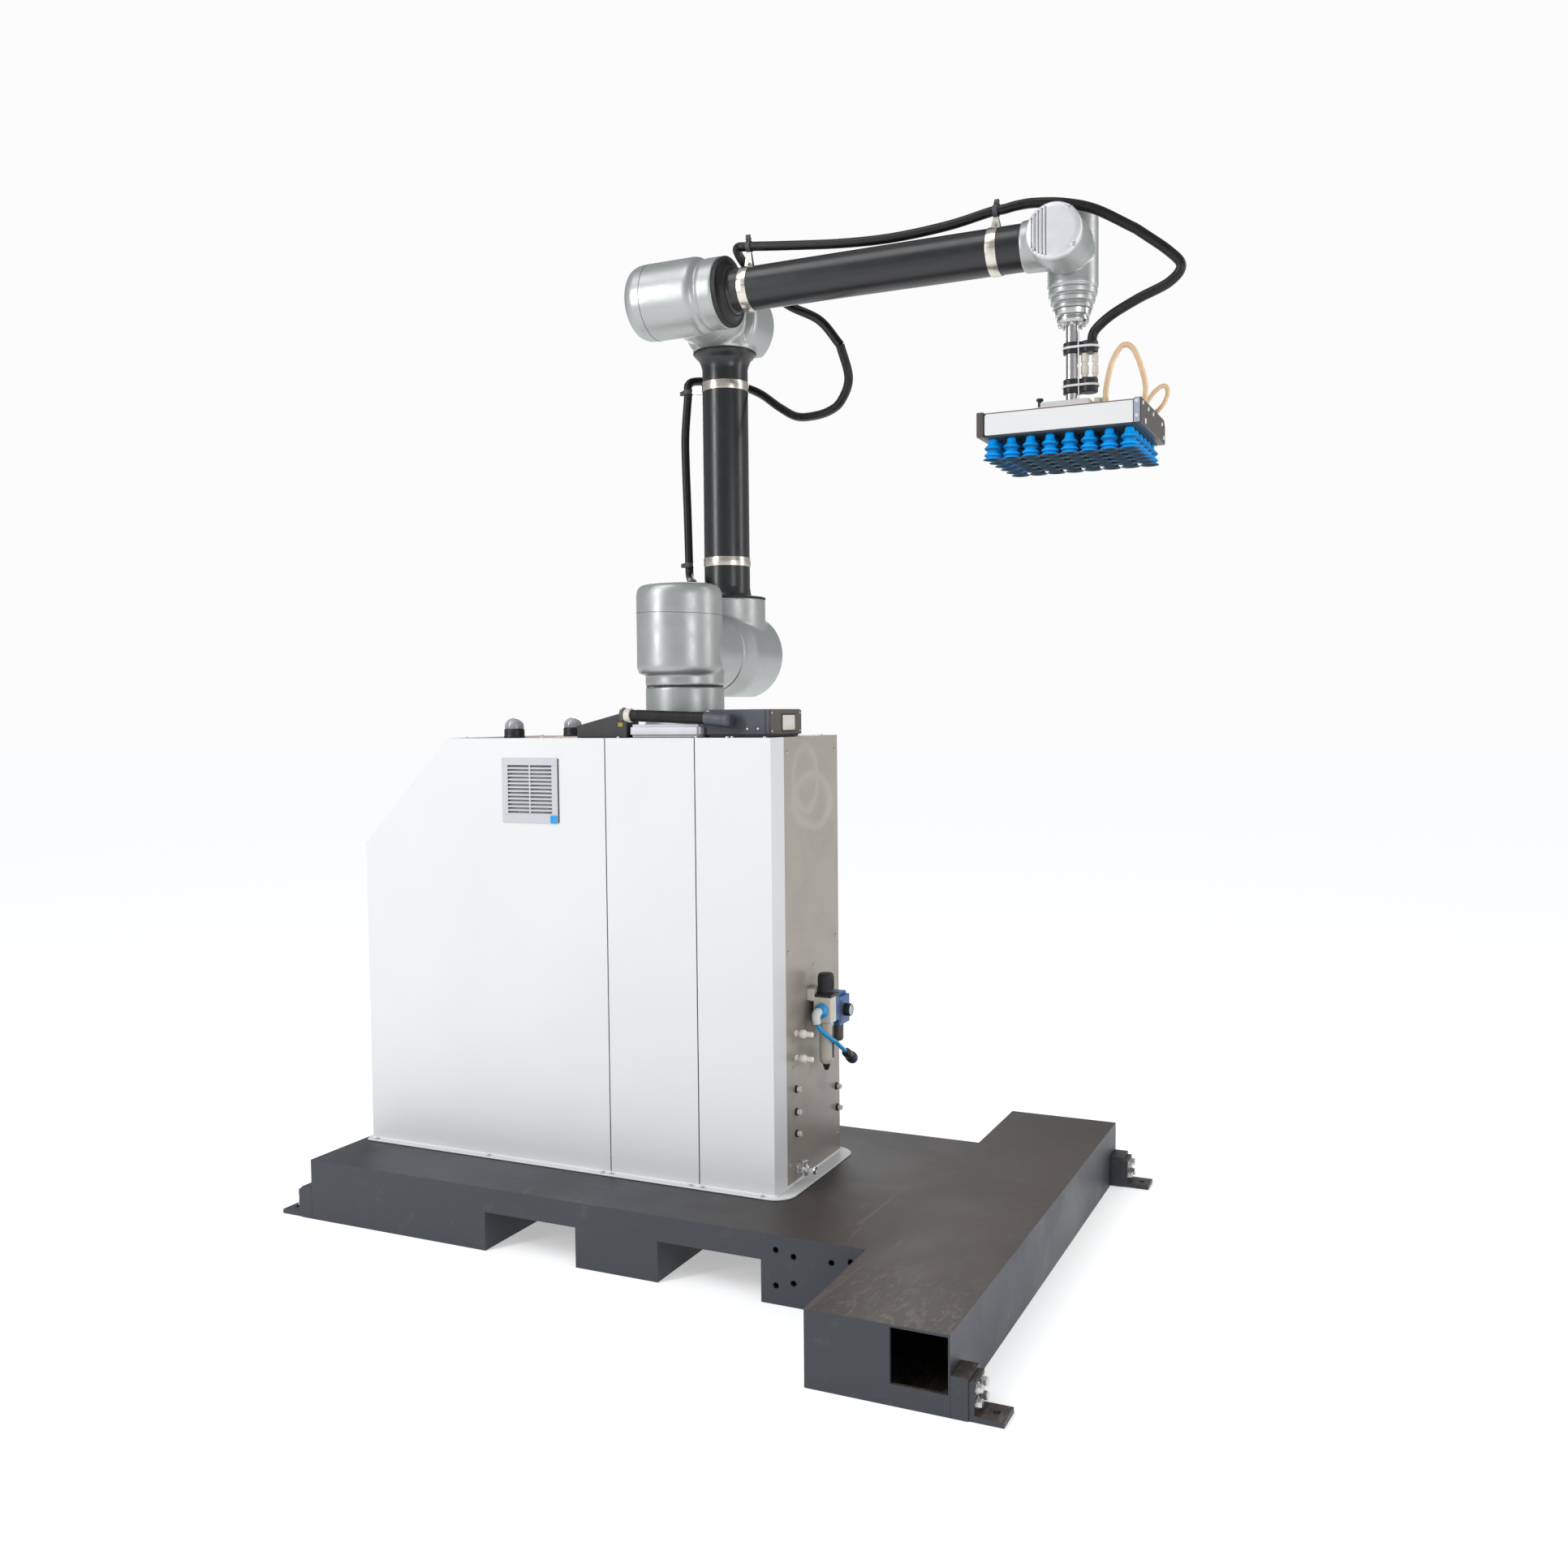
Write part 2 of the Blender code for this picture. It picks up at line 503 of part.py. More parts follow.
def build_tee(name, axis_z, drums, socket, bore, flat_z, cover_r, parent):
    """A tee housing along Y, flat underneath, with an upright socket and an open far end.

    Each drum is (radius, low Y, high Y), the socket and its bore are (radius, low Z, high Z).
    """
    axis = (0, 0, axis_z)
    upright = (0, ARM_Y, 0)
    near, far = drums[0][1], drums[-1][2]
    tee = rod(name, *drums[0], "Y", axis, ARM_SILVER, parent)
    for drum in drums[1:]:
        join(tee, helper(rod, *drum, "Y", axis))
    join(tee, helper(rod, *socket, "Z", upright, sides=28))
    cut(tee, helper(box, (-1, -1, 0), (1, 1, flat_z)))
    cut(tee, helper(rod, drums[0][0] - 0.009, near + 0.008, 1, "Y", axis))
    cut(tee, helper(rod, cover_r + GAP, far - COVER_SEAT, 1, "Y", axis))
    cut(tee, helper(rod, *bore, "Z", upright))
    cut(tee, helper(rod, 0.0300, 0, 0.2, "Y", axis))


def drum_cover(name, radius, far, centre_z, parent):
    """The round cover that closes a tee's far end, seated in its counterbore."""
    low, high = far - COVER_SEAT + GAP, far + 0.004
    outline = [(0, low), (radius, low), (radius, high - 0.0030), (radius - 0.0035, high), (0, high)]
    turned(name, outline, "Y", (0, 0, centre_z), ARM_SILVER, parent)


def build_clip(name, tube_r, spot, cable_at, along, parent):
    """A stainless band round the arm tube with a bracket and a loop for the cable."""
    half = CLIP_WIDTH / 2
    middle = spot["XYZ".index(along)]
    clip = ring(name, tube_r + GAP, tube_r + 0.0025, middle - half, middle + half, along,
                tuple(0 if "XYZ"[i] == along else spot[i] for i in range(3)), STAINLESS, parent)
    toward = (Vector(cable_at) - Vector(spot)).normalized()
    start = Vector(spot) + toward * (tube_r + 0.0010)
    end = Vector(cable_at) - toward * (CABLE_R + 0.0020)
    spread = Vector((0.0065 if axis == along else 0.0050 for axis in "XYZ"))
    for index in range(3):
        if abs(toward[index]) > 0.5:
            spread[index] = 0
    low = Vector(map(min, start, end)) - spread
    high = Vector(map(max, start, end)) + spread
    join(clip, helper(box, low, high))
    join(clip, helper(rod, CABLE_R + 0.0042, -0.0065, 0.0065, along, cable_at, sides=12))
    cut(clip, helper(rod, CABLE_R + 0.0008, -0.1, 0.1, along, cable_at, sides=12))


def build_upper_arm(axis):
    """Joint 2's moving link: tee, tube with its collars, elbow tee, covers and cable clips."""
    build_tee("upper_arm_tee", SHOULDER_Z, [(0.0920, 0.1003, 0.2620)], (0.0780, SHOULDER_Z, 1.2375),
              (0.0400, SHOULDER_Z, 1.3), SHOULDER_Z - 0.0870, 0.0840, axis)
    drum_cover("joint_2_cover", 0.0840, 0.2620, SHOULDER_Z, axis)
    tube = [(0.0415, 1.2378), (0.0785, 1.2378), (0.0785, 1.2415), (0.0530, 1.2415), (0.0495, 1.2480),
            (UPPER_TUBE_R, 1.2620), (UPPER_TUBE_R, 1.7080), (0.0488, 1.7150), (0.0525, 1.7240),
            (0.0600, 1.7315), (0.0635, 1.7360), (0.0635, 1.7405), (0.0415, 1.7405)]
    turned("upper_arm_tube", tube, "Z", (0, ARM_Y, 0), TUBE_BLACK, axis)
    build_tee("elbow_tee", ELBOW_Z, [(0.0640, 0.0900, 0.1750), (0.0840, 0.1650, 0.2500)],
              (0.0655, 1.7300, 1.8450), (0.0400, 1.7000, 1.8000), 1.7410, 0.0590, axis)
    drum_cover("joint_3_cover", 0.0590, 0.2500, ELBOW_Z, axis)
    for end, z, x in (("lower", 1.3137, -0.0893), ("upper", 1.6710, -0.0868)):
        build_clip(f"arm_clip_{end}", UPPER_TUBE_R, (0, ARM_Y, z), (x, ARM_Y, z), "Z", axis)


def build_elbow(axis):
    """Joint 3's moving housing with the forearm's roll drive inside."""
    centre = (0, 0, ELBOW_Z)
    outline = [(0, -0.0975), (0.0250, -0.0975), (0.0480, -0.0965), (0.0610, -0.0930),
               (0.0690, -0.0860), (0.0725, -0.0760),
               (0.0725, 0.0560), (0.0660, 0.0630), (0.0660, 0.1000), (0, 0.1000)]
    housing = turned("roll_housing", outline, "X", centre, ARM_SILVER, axis)
    join(housing, helper(rod, 0.0700, 0, 0.0895, "Y", centre))
    cut(housing, helper(rod, 0.0610, -0.0760, 0.0600, "X", centre))
    cut(housing, helper(rod, 0.0300, 0, 1, "X", centre))


def build_forearm(axis):
    """Joint 4's moving link: tube with its collar, the fork that holds joint 5, and cable clips."""
    centre = (0, 0, ELBOW_Z)
    wrist = (WRIST_X, 0, ELBOW_Z)
    tube = [(0.0345, 0.1008), (0.0655, 0.1008), (0.0655, 0.1090), (0.0580, 0.1105), (0.0465, 0.1275),
            (FORE_TUBE_R, 0.1275), (FORE_TUBE_R, 0.6800), (0.0345, 0.6800)]
    turned("forearm_tube", tube, "X", centre, TUBE_BLACK, axis)
    fork = rod("wrist_fork", 0.0435, 0.6803, 0.7400, "X", centre, ARM_SILVER, axis)
    join(fork, helper(rod, 0.0480, -0.0580, 0.0260, "Y", wrist, sides=28))
    cut(fork, helper(box, (0.6700, 0.0250, 1.7), (1, 1, 1.9)))
    cut(fork, helper(rod, 0.0400, -1, 0.0180, "Y", wrist))
    cut(fork, helper(rod, 0.0300, 0.6, WRIST_X, "X", centre))
    cut(fork, helper(rod, 0.0180, -1, 1, "Y", wrist))
    cap = [(0, -0.0690), (0.0425, -0.0690), (0.0462, -0.0672), (0.0480, -0.0635), (0.0480, -0.0583),
           (0, -0.0583)]
    turned("joint_5_cover", cap, "Y", wrist, ARM_SILVER, axis)
    for end, x, z in (("rear", 0.1500, 1.8818), ("front", 0.6300, 1.8735)):
        build_clip(f"forearm_clip_{end}", FORE_TUBE_R, (x, 0, ELBOW_Z), (x, 0, z), "X", axis)


def build_wrist(axis):
    """Joint 5's moving housing, which holds joint 6."""
    centre = (WRIST_X, TOOL_Y, 0)
    shell = [(0, 1.7045), (0.0340, 1.7045), (0.0368, 1.7090), (0.0385, 1.7105), (0.0400, 1.7185),
             (0.0432, 1.7300), (0.0450, 1.7430), (0.0450, 1.8640), (0.0390, 1.8695), (0, 1.8695)]
    housing = turned("wrist_housing", shell, "Z", centre, ARM_SILVER, axis)
    join(housing, helper(rod, 0.0420, 0.0265, TOOL_Y, "Y", (WRIST_X, 0, ELBOW_Z)))
    cut(housing, helper(rod, 0.0370, 1.7450, 1.8600, "Z", centre))
    cut(housing, helper(rod, 0.0200, 1.6, 1.7600, "Z", centre))


# ---------------------------------------------------------------- gripper

def build_tool(axis):
    """Joint 6's moving flange and stem with the clamps that hold its cable and hoses."""
    centre = (WRIST_X, TOOL_Y, 0)
    stem = [(0, 1.5376), (0.0120, 1.5376), (0.0120, 1.6800), (0.0275, 1.6800), (0.0285, 1.6900),
            (0.0305, 1.6975), (0.0330, 1.7038), (0, 1.7038)]
    turned("tool_stem", stem, "Z", centre, STAINLESS, axis, sides=24)
    clamp_x = (WRIST_X - 0.0165, WRIST_X + 0.0465)
    clamp_y = (TOOL_Y - 0.0165, TOOL_Y + 0.0165)
    clamps = box("stem_clamps", (clamp_x[0], clamp_y[0], 1.6280), (clamp_x[1], clamp_y[1], 1.6480),
                 RUBBER, axis)
    join(clamps, helper(box, (clamp_x[0], clamp_y[0], 1.5590), (clamp_x[1], clamp_y[1], 1.5840)))
    for x in (WRIST_X + 0.0225, WRIST_X + 0.0385):
        join(clamps, helper(rod, 0.0062, 1.5800, 1.6320, "Z", (x, TOOL_Y, 0), sides=12))
    cut(clamps, helper(rod, 0.0123, 1, 2, "Z", centre, sides=24))


def build_gripper(axis):
    """The vacuum chamber on its mounting plate, its end plates and the field of suction cups."""
    low_x, high_x = WRIST_X - GRIP_HALF_X, WRIST_X + GRIP_HALF_X
    low_y, high_y = GRIP_Y
    low_z, high_z = GRIP_Z
    box("gripper_mount_plate", (0.6870, 0.0300, high_z + GAP), (0.7870, 0.1140, 1.5373), COVER_WHITE, axis,
        bevel=0.003, segments=1)
    box("vacuum_chamber", (low_x, low_y, low_z), (high_x, high_y, high_z), BROWN, axis)
    lip, depth = 0.002, 0.0125
    end = [(low_y - lip, low_z - lip), (high_y + lip, low_z - lip), (high_y + lip, high_z - 0.010),
           (high_y - 0.009, high_z + 0.001), (low_y - lip, high_z + 0.001)]
    for name, side in (("left", -1), ("right", 1)):
        inner = WRIST_X + side * (GRIP_HALF_X + GAP)
        xs = sorted((inner, inner + side * depth))
        slab(f"gripper_end_plate_{name}", end, xs[0], xs[1], "X", BROWN, axis)
    field = box("suction_cups", (low_x, low_y + 0.0015, low_z - 0.0033),
                (high_x, high_y - 0.0015, low_z - GAP), CUP_BLUE, axis)
    join(field, helper(cup_field))


def cup_field(name):
    """All the bellows cups in one object, each as a separate solid."""
    top = GRIP_Z[0] - 0.0020
    low = GRIP_Z[0] - CUP_H
    outline = [(0, low), (CUP_R, low), (0.0105, low + 0.0120), (0.0135, low + 0.0200),
               (0.0060, low + 0.0280), (0.0060, top), (0, top)]
    sides = 6
    tool = bmesh.new()
    for row in range(CUP_ROWS):
        for place_in_row in range(CUPS_PER_ROW):
            x = WRIST_X + (place_in_row - (CUPS_PER_ROW - 1) / 2) * CUP_STEP_X
            y = TOOL_Y + (row - (CUP_ROWS - 1) / 2) * CUP_STEP_Y
            turn_into(tool, outline, Matrix.Translation((x, y, 0)), sides)
    return place(name, tool, None)


def build_dress_cable(axes):
    """The arm's outer cable: clipped along each link, with free loops between them."""
    for stretch, points in CABLE_ROUTE.items():
        cable(f"cable_{stretch}", points, CABLE_R, RUBBER, axes[stretch], step=0.024)


build_base()
build_anchors()
build_cabinet_frame()
build_covers()
build_cabinet_inside()
build_cabinet_top()
build_panel_fittings()
build_robot_base()
joint_1 = pivot("axis_1", (0, 0, 1.055))
joint_2 = pivot("axis_2", (0, 0.100, SHOULDER_Z), joint_1)
joint_3 = pivot("axis_3", (0, 0.0895, ELBOW_Z), joint_2)
joint_4 = pivot("axis_4", (0.1004, 0, ELBOW_Z), joint_3)
joint_5 = pivot("axis_5", (WRIST_X, 0.0262, ELBOW_Z), joint_4)
joint_6 = pivot("axis_6", (WRIST_X, TOOL_Y, 1.7040), joint_5)
build_shoulder(joint_1)
build_upper_arm(joint_2)
build_elbow(joint_3)
build_forearm(joint_4)
build_wrist(joint_5)
build_tool(joint_6)
build_gripper(joint_6)
build_dress_cable({"shoulder": joint_1, "upper_arm": joint_2, "elbow_loop": joint_3, "forearm": joint_4,
                   "wrist_loop": joint_5})
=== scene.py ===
"""Looks for the palletising robot: smooth castings, bellows cups, cables, fittings and finishes.

Everything is in metres in the row frame, where +X runs from the cabinet's sloped end to the crossbar,
-Y is the side with the vent grille, and the origin is on the floor under the arm's first joint.
"""
import json
import math

import bmesh
import bpy
from mathutils import Matrix, Vector

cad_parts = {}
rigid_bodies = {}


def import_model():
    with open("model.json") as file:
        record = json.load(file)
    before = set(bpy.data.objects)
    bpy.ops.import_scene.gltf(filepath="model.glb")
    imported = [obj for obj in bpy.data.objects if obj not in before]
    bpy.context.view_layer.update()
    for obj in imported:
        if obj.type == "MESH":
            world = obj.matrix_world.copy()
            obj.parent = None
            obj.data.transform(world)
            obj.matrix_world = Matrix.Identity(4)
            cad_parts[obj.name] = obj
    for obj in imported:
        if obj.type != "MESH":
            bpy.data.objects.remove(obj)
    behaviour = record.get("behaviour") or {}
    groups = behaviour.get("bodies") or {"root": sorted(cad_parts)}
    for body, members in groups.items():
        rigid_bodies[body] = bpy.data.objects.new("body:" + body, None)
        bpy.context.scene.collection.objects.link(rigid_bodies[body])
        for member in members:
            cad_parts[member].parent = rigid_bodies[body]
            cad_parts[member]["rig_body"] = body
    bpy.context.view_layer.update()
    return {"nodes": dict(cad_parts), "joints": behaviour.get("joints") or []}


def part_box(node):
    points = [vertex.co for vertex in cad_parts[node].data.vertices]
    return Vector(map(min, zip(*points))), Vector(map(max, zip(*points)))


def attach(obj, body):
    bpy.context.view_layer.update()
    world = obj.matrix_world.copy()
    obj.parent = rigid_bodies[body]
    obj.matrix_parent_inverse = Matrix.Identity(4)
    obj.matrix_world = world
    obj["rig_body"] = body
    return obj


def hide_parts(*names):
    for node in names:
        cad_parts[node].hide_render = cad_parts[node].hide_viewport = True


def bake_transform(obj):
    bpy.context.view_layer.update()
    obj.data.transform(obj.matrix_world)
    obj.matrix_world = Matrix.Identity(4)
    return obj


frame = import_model()
scene = bpy.context.scene

# axes of the arm, as the record's joints give them
SPOTS = {joint["name"]: Vector(joint["pos_m"]) for joint in frame["joints"]}
SHOULDER_Z = SPOTS["shoulder_pitch"].z
ELBOW_Z = SPOTS["elbow_pitch"].z
WRIST_X = SPOTS["wrist_pitch"].x
TOOL_Y = SPOTS["tool_turn"].y
ARM_Y = sum(corner.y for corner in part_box("upper_arm_tube")) / 2
CABLE_R = 0.0085
CAMERA_SPOT = (1.341, -2.4351, 1.0)
CAMERA_TURN = (0.4342, 0.0495, -0.0093)
CAMERA_LENS_MM = 32.4
FLOOR_GAP = 0.0006
COVER_HALF_DEPTH = 0.154
SCREW_LINE_Y = 0.1615
CLIP_HALF_WIDTH = 0.0092
PLATE_RAISE = 0.0060
SLAT_COUNT = 13
LID_RIBS = 9
KNOB_RIDGES = 28
CUP_ROWS, CUPS_PER_ROW = 6, 8
CUP_STEP_X, CUP_STEP_Y = 0.0338, 0.0365
PANEL_SOCKETS = ((-0.057, 0.298), (-0.057, 0.255), (-0.057, 0.214), (0.1364, 0.2566), (0.140, 0.213))
SMOOTH_SIDES = 96
TURNS = {"X": Matrix.Rotation(math.radians(90), 4, "Y"),
         "Y": Matrix.Rotation(math.radians(-90), 4, "X"),
         "Z": Matrix.Identity(4)}


# ---------------------------------------------------------------- camera, light and floor

def make_camera():
    """A camera at the height of the cabinet's top, looking at the machine's long side from its right."""
    yaw, pitch, roll = CAMERA_TURN
    forward = Vector((-math.sin(yaw) * math.cos(pitch), math.cos(yaw) * math.cos(pitch), -math.sin(pitch)))
    level = Vector((math.cos(yaw), math.sin(yaw), 0))
    upward = level.cross(forward)
    right = math.cos(roll) * level + math.sin(roll) * upward
    up = math.cos(roll) * upward - math.sin(roll) * level
    data = bpy.data.cameras.new("camera")
    data.sensor_width = 36.0
    data.lens = CAMERA_LENS_MM
    data.clip_end = 200.0
    camera = bpy.data.objects.new("camera", data)
    scene.collection.objects.link(camera)
    turn = Matrix((right, up, -forward)).transposed().to_4x4()
    camera.matrix_world = Matrix.Translation(CAMERA_SPOT) @ turn
    scene.camera = camera


def area_light(name, spot, target, size, power, colour=(1, 1, 1)):
    """A soft rectangular lamp at spot, turned to target."""
    data = bpy.data.lights.new(name, "AREA")
    data.shape = "RECTANGLE"
    data.size, data.size_y = size
    data.energy = power
    data.color = colour
    lamp = bpy.data.objects.new(name, data)
    scene.collection.objects.link(lamp)
    lamp.location = spot
    lamp.rotation_euler = (Vector(target) - Vector(spot)).to_track_quat("-Z", "Y").to_euler()


def make_lights():
    """A pale studio: an even dome, daylight, a tall key lamp on the left, and three lesser lamps."""
    scene.view_settings.view_transform = "Standard"
    world = bpy.data.worlds.new("studio")
    scene.world = world
    world.use_nodes = True
    tree = world.node_tree
    lighting = tree.nodes["Background"]
    lighting.inputs["Color"].default_value = (0.93, 0.96, 1.0, 1.0)
    lighting.inputs["Strength"].default_value = 0.44
    backdrop = tree.nodes.new("ShaderNodeBackground")
    backdrop.inputs["Color"].default_value = (1.0, 1.0, 1.0, 1.0)
    backdrop.inputs["Strength"].default_value = 0.97
    rays = tree.nodes.new("ShaderNodeLightPath")
    choose = tree.nodes.new("ShaderNodeMixShader")
    tree.links.new(rays.outputs["Is Camera Ray"], choose.inputs["Fac"])
    tree.links.new(lighting.outputs["Background"], choose.inputs[1])
    tree.links.new(backdrop.outputs["Background"], choose.inputs[2])
    tree.links.new(choose.outputs["Shader"], tree.nodes["World Output"].inputs["Surface"])
    sun_data = bpy.data.lights.new("daylight", "SUN")
    sun_data.energy = 0.85
    sun_data.angle = math.radians(35)
    sun = bpy.data.objects.new("daylight", sun_data)
    scene.collection.objects.link(sun)
    sun.rotation_euler = Vector((0.45, 0.75, -1.25)).to_track_quat("-Z", "Y").to_euler()
    area_light("key", (-1.9, -2.9, 2.3), (0.1, 0, 1.3), (0.5, 2.2), 54)
    area_light("rim", (2.6, 0.9, 2.0), (0.3, 0, 1.3), (0.4, 2.2), 16, (1.0, 0.97, 0.92))
    area_light("fill", (2.7, -1.5, 1.3), (0.26, 0, 0.5), (0.8, 0.8), 12)
    area_light("back", (-1.2, 2.6, 2.4), (0.1, 0, 1.0), (1.6, 1.6), 24)


def make_floor(finish):
    tool = bmesh.new()
    half = 40.0
    tool.faces.new([tool.verts.new((x, y, -FLOOR_GAP)) for x, y in ((-half, -half), (half, -half),
                                                                (half, half), (-half, half))])
    mesh = bpy.data.meshes.new("studio_floor")
    tool.to_mesh(mesh)
    tool.free()
    floor = bpy.data.objects.new("studio_floor", mesh)
    scene.collection.objects.link(floor)
    mesh.materials.append(finish)


# ---------------------------------------------------------------- finishes

class Finish:
    """One procedural material, built on the piece's own coordinates in metres."""

    def __init__(self, name, colour, roughness, metallic=0.0, **sockets):
        self.made = bpy.data.materials.new(name)
        self.made.use_nodes = True
        self.tree = self.made.node_tree
        self.shader = self.tree.nodes["Principled BSDF"]
        self.shader.inputs["Base Color"].default_value = (*colour[:3], 1.0)
        self.shader.inputs["Roughness"].default_value = roughness
        self.shader.inputs["Metallic"].default_value = metallic
        for socket, value in sockets.items():
            self.shader.inputs[socket.replace("_", " ")].default_value = value
        coordinates = self.tree.nodes.new("ShaderNodeTexCoord")
        self.place = coordinates.outputs["Object"]
        self.facing = coordinates.outputs["Normal"]
        self.height = None

    def plug(self, value, socket):
        if isinstance(value, bpy.types.NodeSocket):
            self.tree.links.new(value, socket)
        else:
            socket.default_value = value

    def noise(self, scale, detail=3.0, rough=0.55, stretch=(1, 1, 1), distortion=0.0):
        """A noise of about 1 / scale metres, drawn out where stretch is below 1."""
        mapping = self.tree.nodes.new("ShaderNodeMapping")
        self.plug(self.place, mapping.inputs["Vector"])
        mapping.inputs["Scale"].default_value = stretch
        texture = self.tree.nodes.new("ShaderNodeTexNoise")
        self.plug(mapping.outputs["Vector"], texture.inputs["Vector"])
        texture.inputs["Scale"].default_value = scale
        texture.inputs["Detail"].default_value = detail
        texture.inputs["Roughness"].default_value = rough
        texture.inputs["Distortion"].default_value = distortion
        return texture.outputs["Fac"]

    def along(self, axis, source=None):
        """One coordinate of the place, or of another vector."""
        split = self.tree.nodes.new("ShaderNodeSeparateXYZ")
        self.plug(source or self.place, split.inputs["Vector"])
        return split.outputs[axis]

    def span(self, value, low, high, to_low=0.0, to_high=1.0, smooth=False):
        """Value mapped from one range to another, and kept within it."""
        node = self.tree.nodes.new("ShaderNodeMapRange")
        node.interpolation_type = "SMOOTHSTEP" if smooth else "LINEAR"
        for socket, number in zip(("Value", "From Min", "From Max", "To Min", "To Max"),
                                  (value, low, high, to_low, to_high)):
            self.plug(number, node.inputs[socket])
        return node.outputs["Result"]

    def maths(self, operation, first, second=0.0):
        node = self.tree.nodes.new("ShaderNodeMath")
        node.operation = operation
        self.plug(first, node.inputs[0])
        self.plug(second, node.inputs[1])
        return node.outputs[0]

    def mix(self, share, first, second):
        """A colour between two, each a colour or a socket."""
        node = self.tree.nodes.new("ShaderNodeMix")
        node.data_type = "RGBA"
        self.plug(share, node.inputs["Factor"])
        self.plug(first, node.inputs[6])
        self.plug(second, node.inputs[7])
        return node.outputs[2]

    def colour(self, value):
        self.plug(value, self.shader.inputs["Base Color"])
        return self

    def rough(self, value):
        self.plug(value, self.shader.inputs["Roughness"])
        return self

    def bump(self, height, distance, strength=1.0):
        """A relief of that height in metres, on top of any made before."""
        node = self.tree.nodes.new("ShaderNodeBump")
        node.inputs["Strength"].default_value = strength
        node.inputs["Distance"].default_value = distance
        self.plug(height, node.inputs["Height"])
        if self.height:
            self.plug(self.height, node.inputs["Normal"])
        self.height = node.outputs["Normal"]
        self.plug(self.height, self.shader.inputs["Normal"])
        return self


def shade(colour, factor):
    return tuple(part * factor for part in colour[:3]) + (1.0,)


def powder_coat(name, colour, roughness=0.42):
    """Sprayed powder: a fine orange peel and the faintest change of tone."""
    made = Finish(name, colour, roughness, Coat_Weight=0.12, Coat_Roughness=0.3)
    tone = made.noise(3.0, 2.0)
    made.colour(made.mix(made.span(tone, 0.3, 0.7), shade(colour, 0.975), shade(colour, 1.02)))
    made.rough(made.span(made.noise(60.0, 2.0), 0.3, 0.7, roughness - 0.05, roughness + 0.06))
    return made.bump(made.noise(900.0, 2.0), 0.00008).made


def worn_paint():
    """Anthracite paint: bluish on upright faces, brown and rubbed on top, with scratches and dust."""
    blue, brown = (0.027, 0.031, 0.040, 1.0), (0.046, 0.034, 0.024, 1.0)
    made = Finish("base_paint", blue, 0.45)
    upward = made.span(made.along("Z", made.facing), 0.5, 0.9)
    to_bar = made.span(made.along("X"), 0.05, 0.50, smooth=True)
    cloud = made.span(made.noise(3.2, 5.0, 0.6, distortion=0.4), 0.35, 0.68)
    top = made.mix(made.maths("MULTIPLY", to_bar, 0.95), shade(blue, 1.0), brown)
    top = made.mix(made.maths("MULTIPLY", cloud, 0.45), top, (0.052, 0.046, 0.040, 1.0))
    side = made.mix(made.maths("MULTIPLY", cloud, 0.3), blue, (0.036, 0.040, 0.049, 1.0))
    paint = made.mix(upward, side, top)
    dust = made.span(made.noise(34.0, 9.0, 0.72), 0.56, 0.74)
    scratches = made.span(made.noise(26.0, 4.0, 0.6, (1.0, 0.06, 1.0), 1.2), 0.665, 0.70)
    more = made.span(made.noise(31.0, 4.0, 0.6, (0.07, 1.0, 1.0), 1.6), 0.675, 0.71)
    lines = made.maths("MULTIPLY", made.maths("MAXIMUM", scratches, more), upward)
    chips = made.span(made.noise(46.0, 3.0, 0.5, (1.0, 1.0, 0.45)), 0.765, 0.785)
    marks = made.maths("MAXIMUM", made.maths("MULTIPLY", lines, 0.16), made.maths("MULTIPLY", chips, 0.65))
    near_side = made.span(made.along("Y"), -0.30, -0.50)
    near_end = made.maths("MULTIPLY", near_side, made.span(made.along("X"), 0.45, 0.55))
    rubbed = made.span(made.noise(60.0, 8.0, 0.75, (1.0, 0.35, 1.0), 1.5), 0.50, 0.70)
    scuffs = made.maths("MULTIPLY", made.maths("MULTIPLY", rubbed, near_end), upward)
    marks = made.maths("MAXIMUM", marks, made.maths("MULTIPLY", scuffs, 0.55))
    marks = made.maths("MAXIMUM", marks, made.maths("MULTIPLY", dust, 0.10))
    made.colour(made.mix(marks, paint, (0.27, 0.25, 0.22, 1.0)))
    made.rough(made.span(made.maths("ADD", cloud, marks), 0.0, 1.4, 0.36, 0.62))
    made.bump(made.noise(700.0, 2.0), 0.00010)
    return made.bump(made.noise(14.0, 2.0), 0.0005, 0.5).made


def cast_silver(name, colour, roughness=0.36):
    """Silver paint over a casting: metal flake, a soft sheen and slow changes of tone."""
    made = Finish(name, colour, roughness, 0.62, Coat_Weight=0.12, Coat_Roughness=0.25)
    tone = made.span(made.noise(7.0, 3.0), 0.3, 0.7)
    flake = made.span(made.noise(2600.0, 1.0), 0.45, 0.75)
    made.colour(made.mix(flake, made.mix(tone, shade(colour, 0.94), shade(colour, 1.03)),
                         shade(colour, 1.16)))
    made.rough(made.span(made.noise(35.0, 3.0), 0.3, 0.7, roughness - 0.05, roughness + 0.07))
    return made.bump(made.noise(1500.0, 2.0), 0.00004).made


def satin_black(name, colour, roughness=0.36):
    """Satin black enamel on a drawn tube."""
    made = Finish(name, colour, roughness, Specular_IOR_Level=0.60)
    made.colour(made.mix(made.span(made.noise(10.0, 3.0), 0.3, 0.7), shade(colour, 0.92),
                         shade(colour, 1.08)))
    return made.rough(made.span(made.noise(30.0, 3.0), 0.3, 0.7, roughness - 0.03, roughness + 0.04)).made


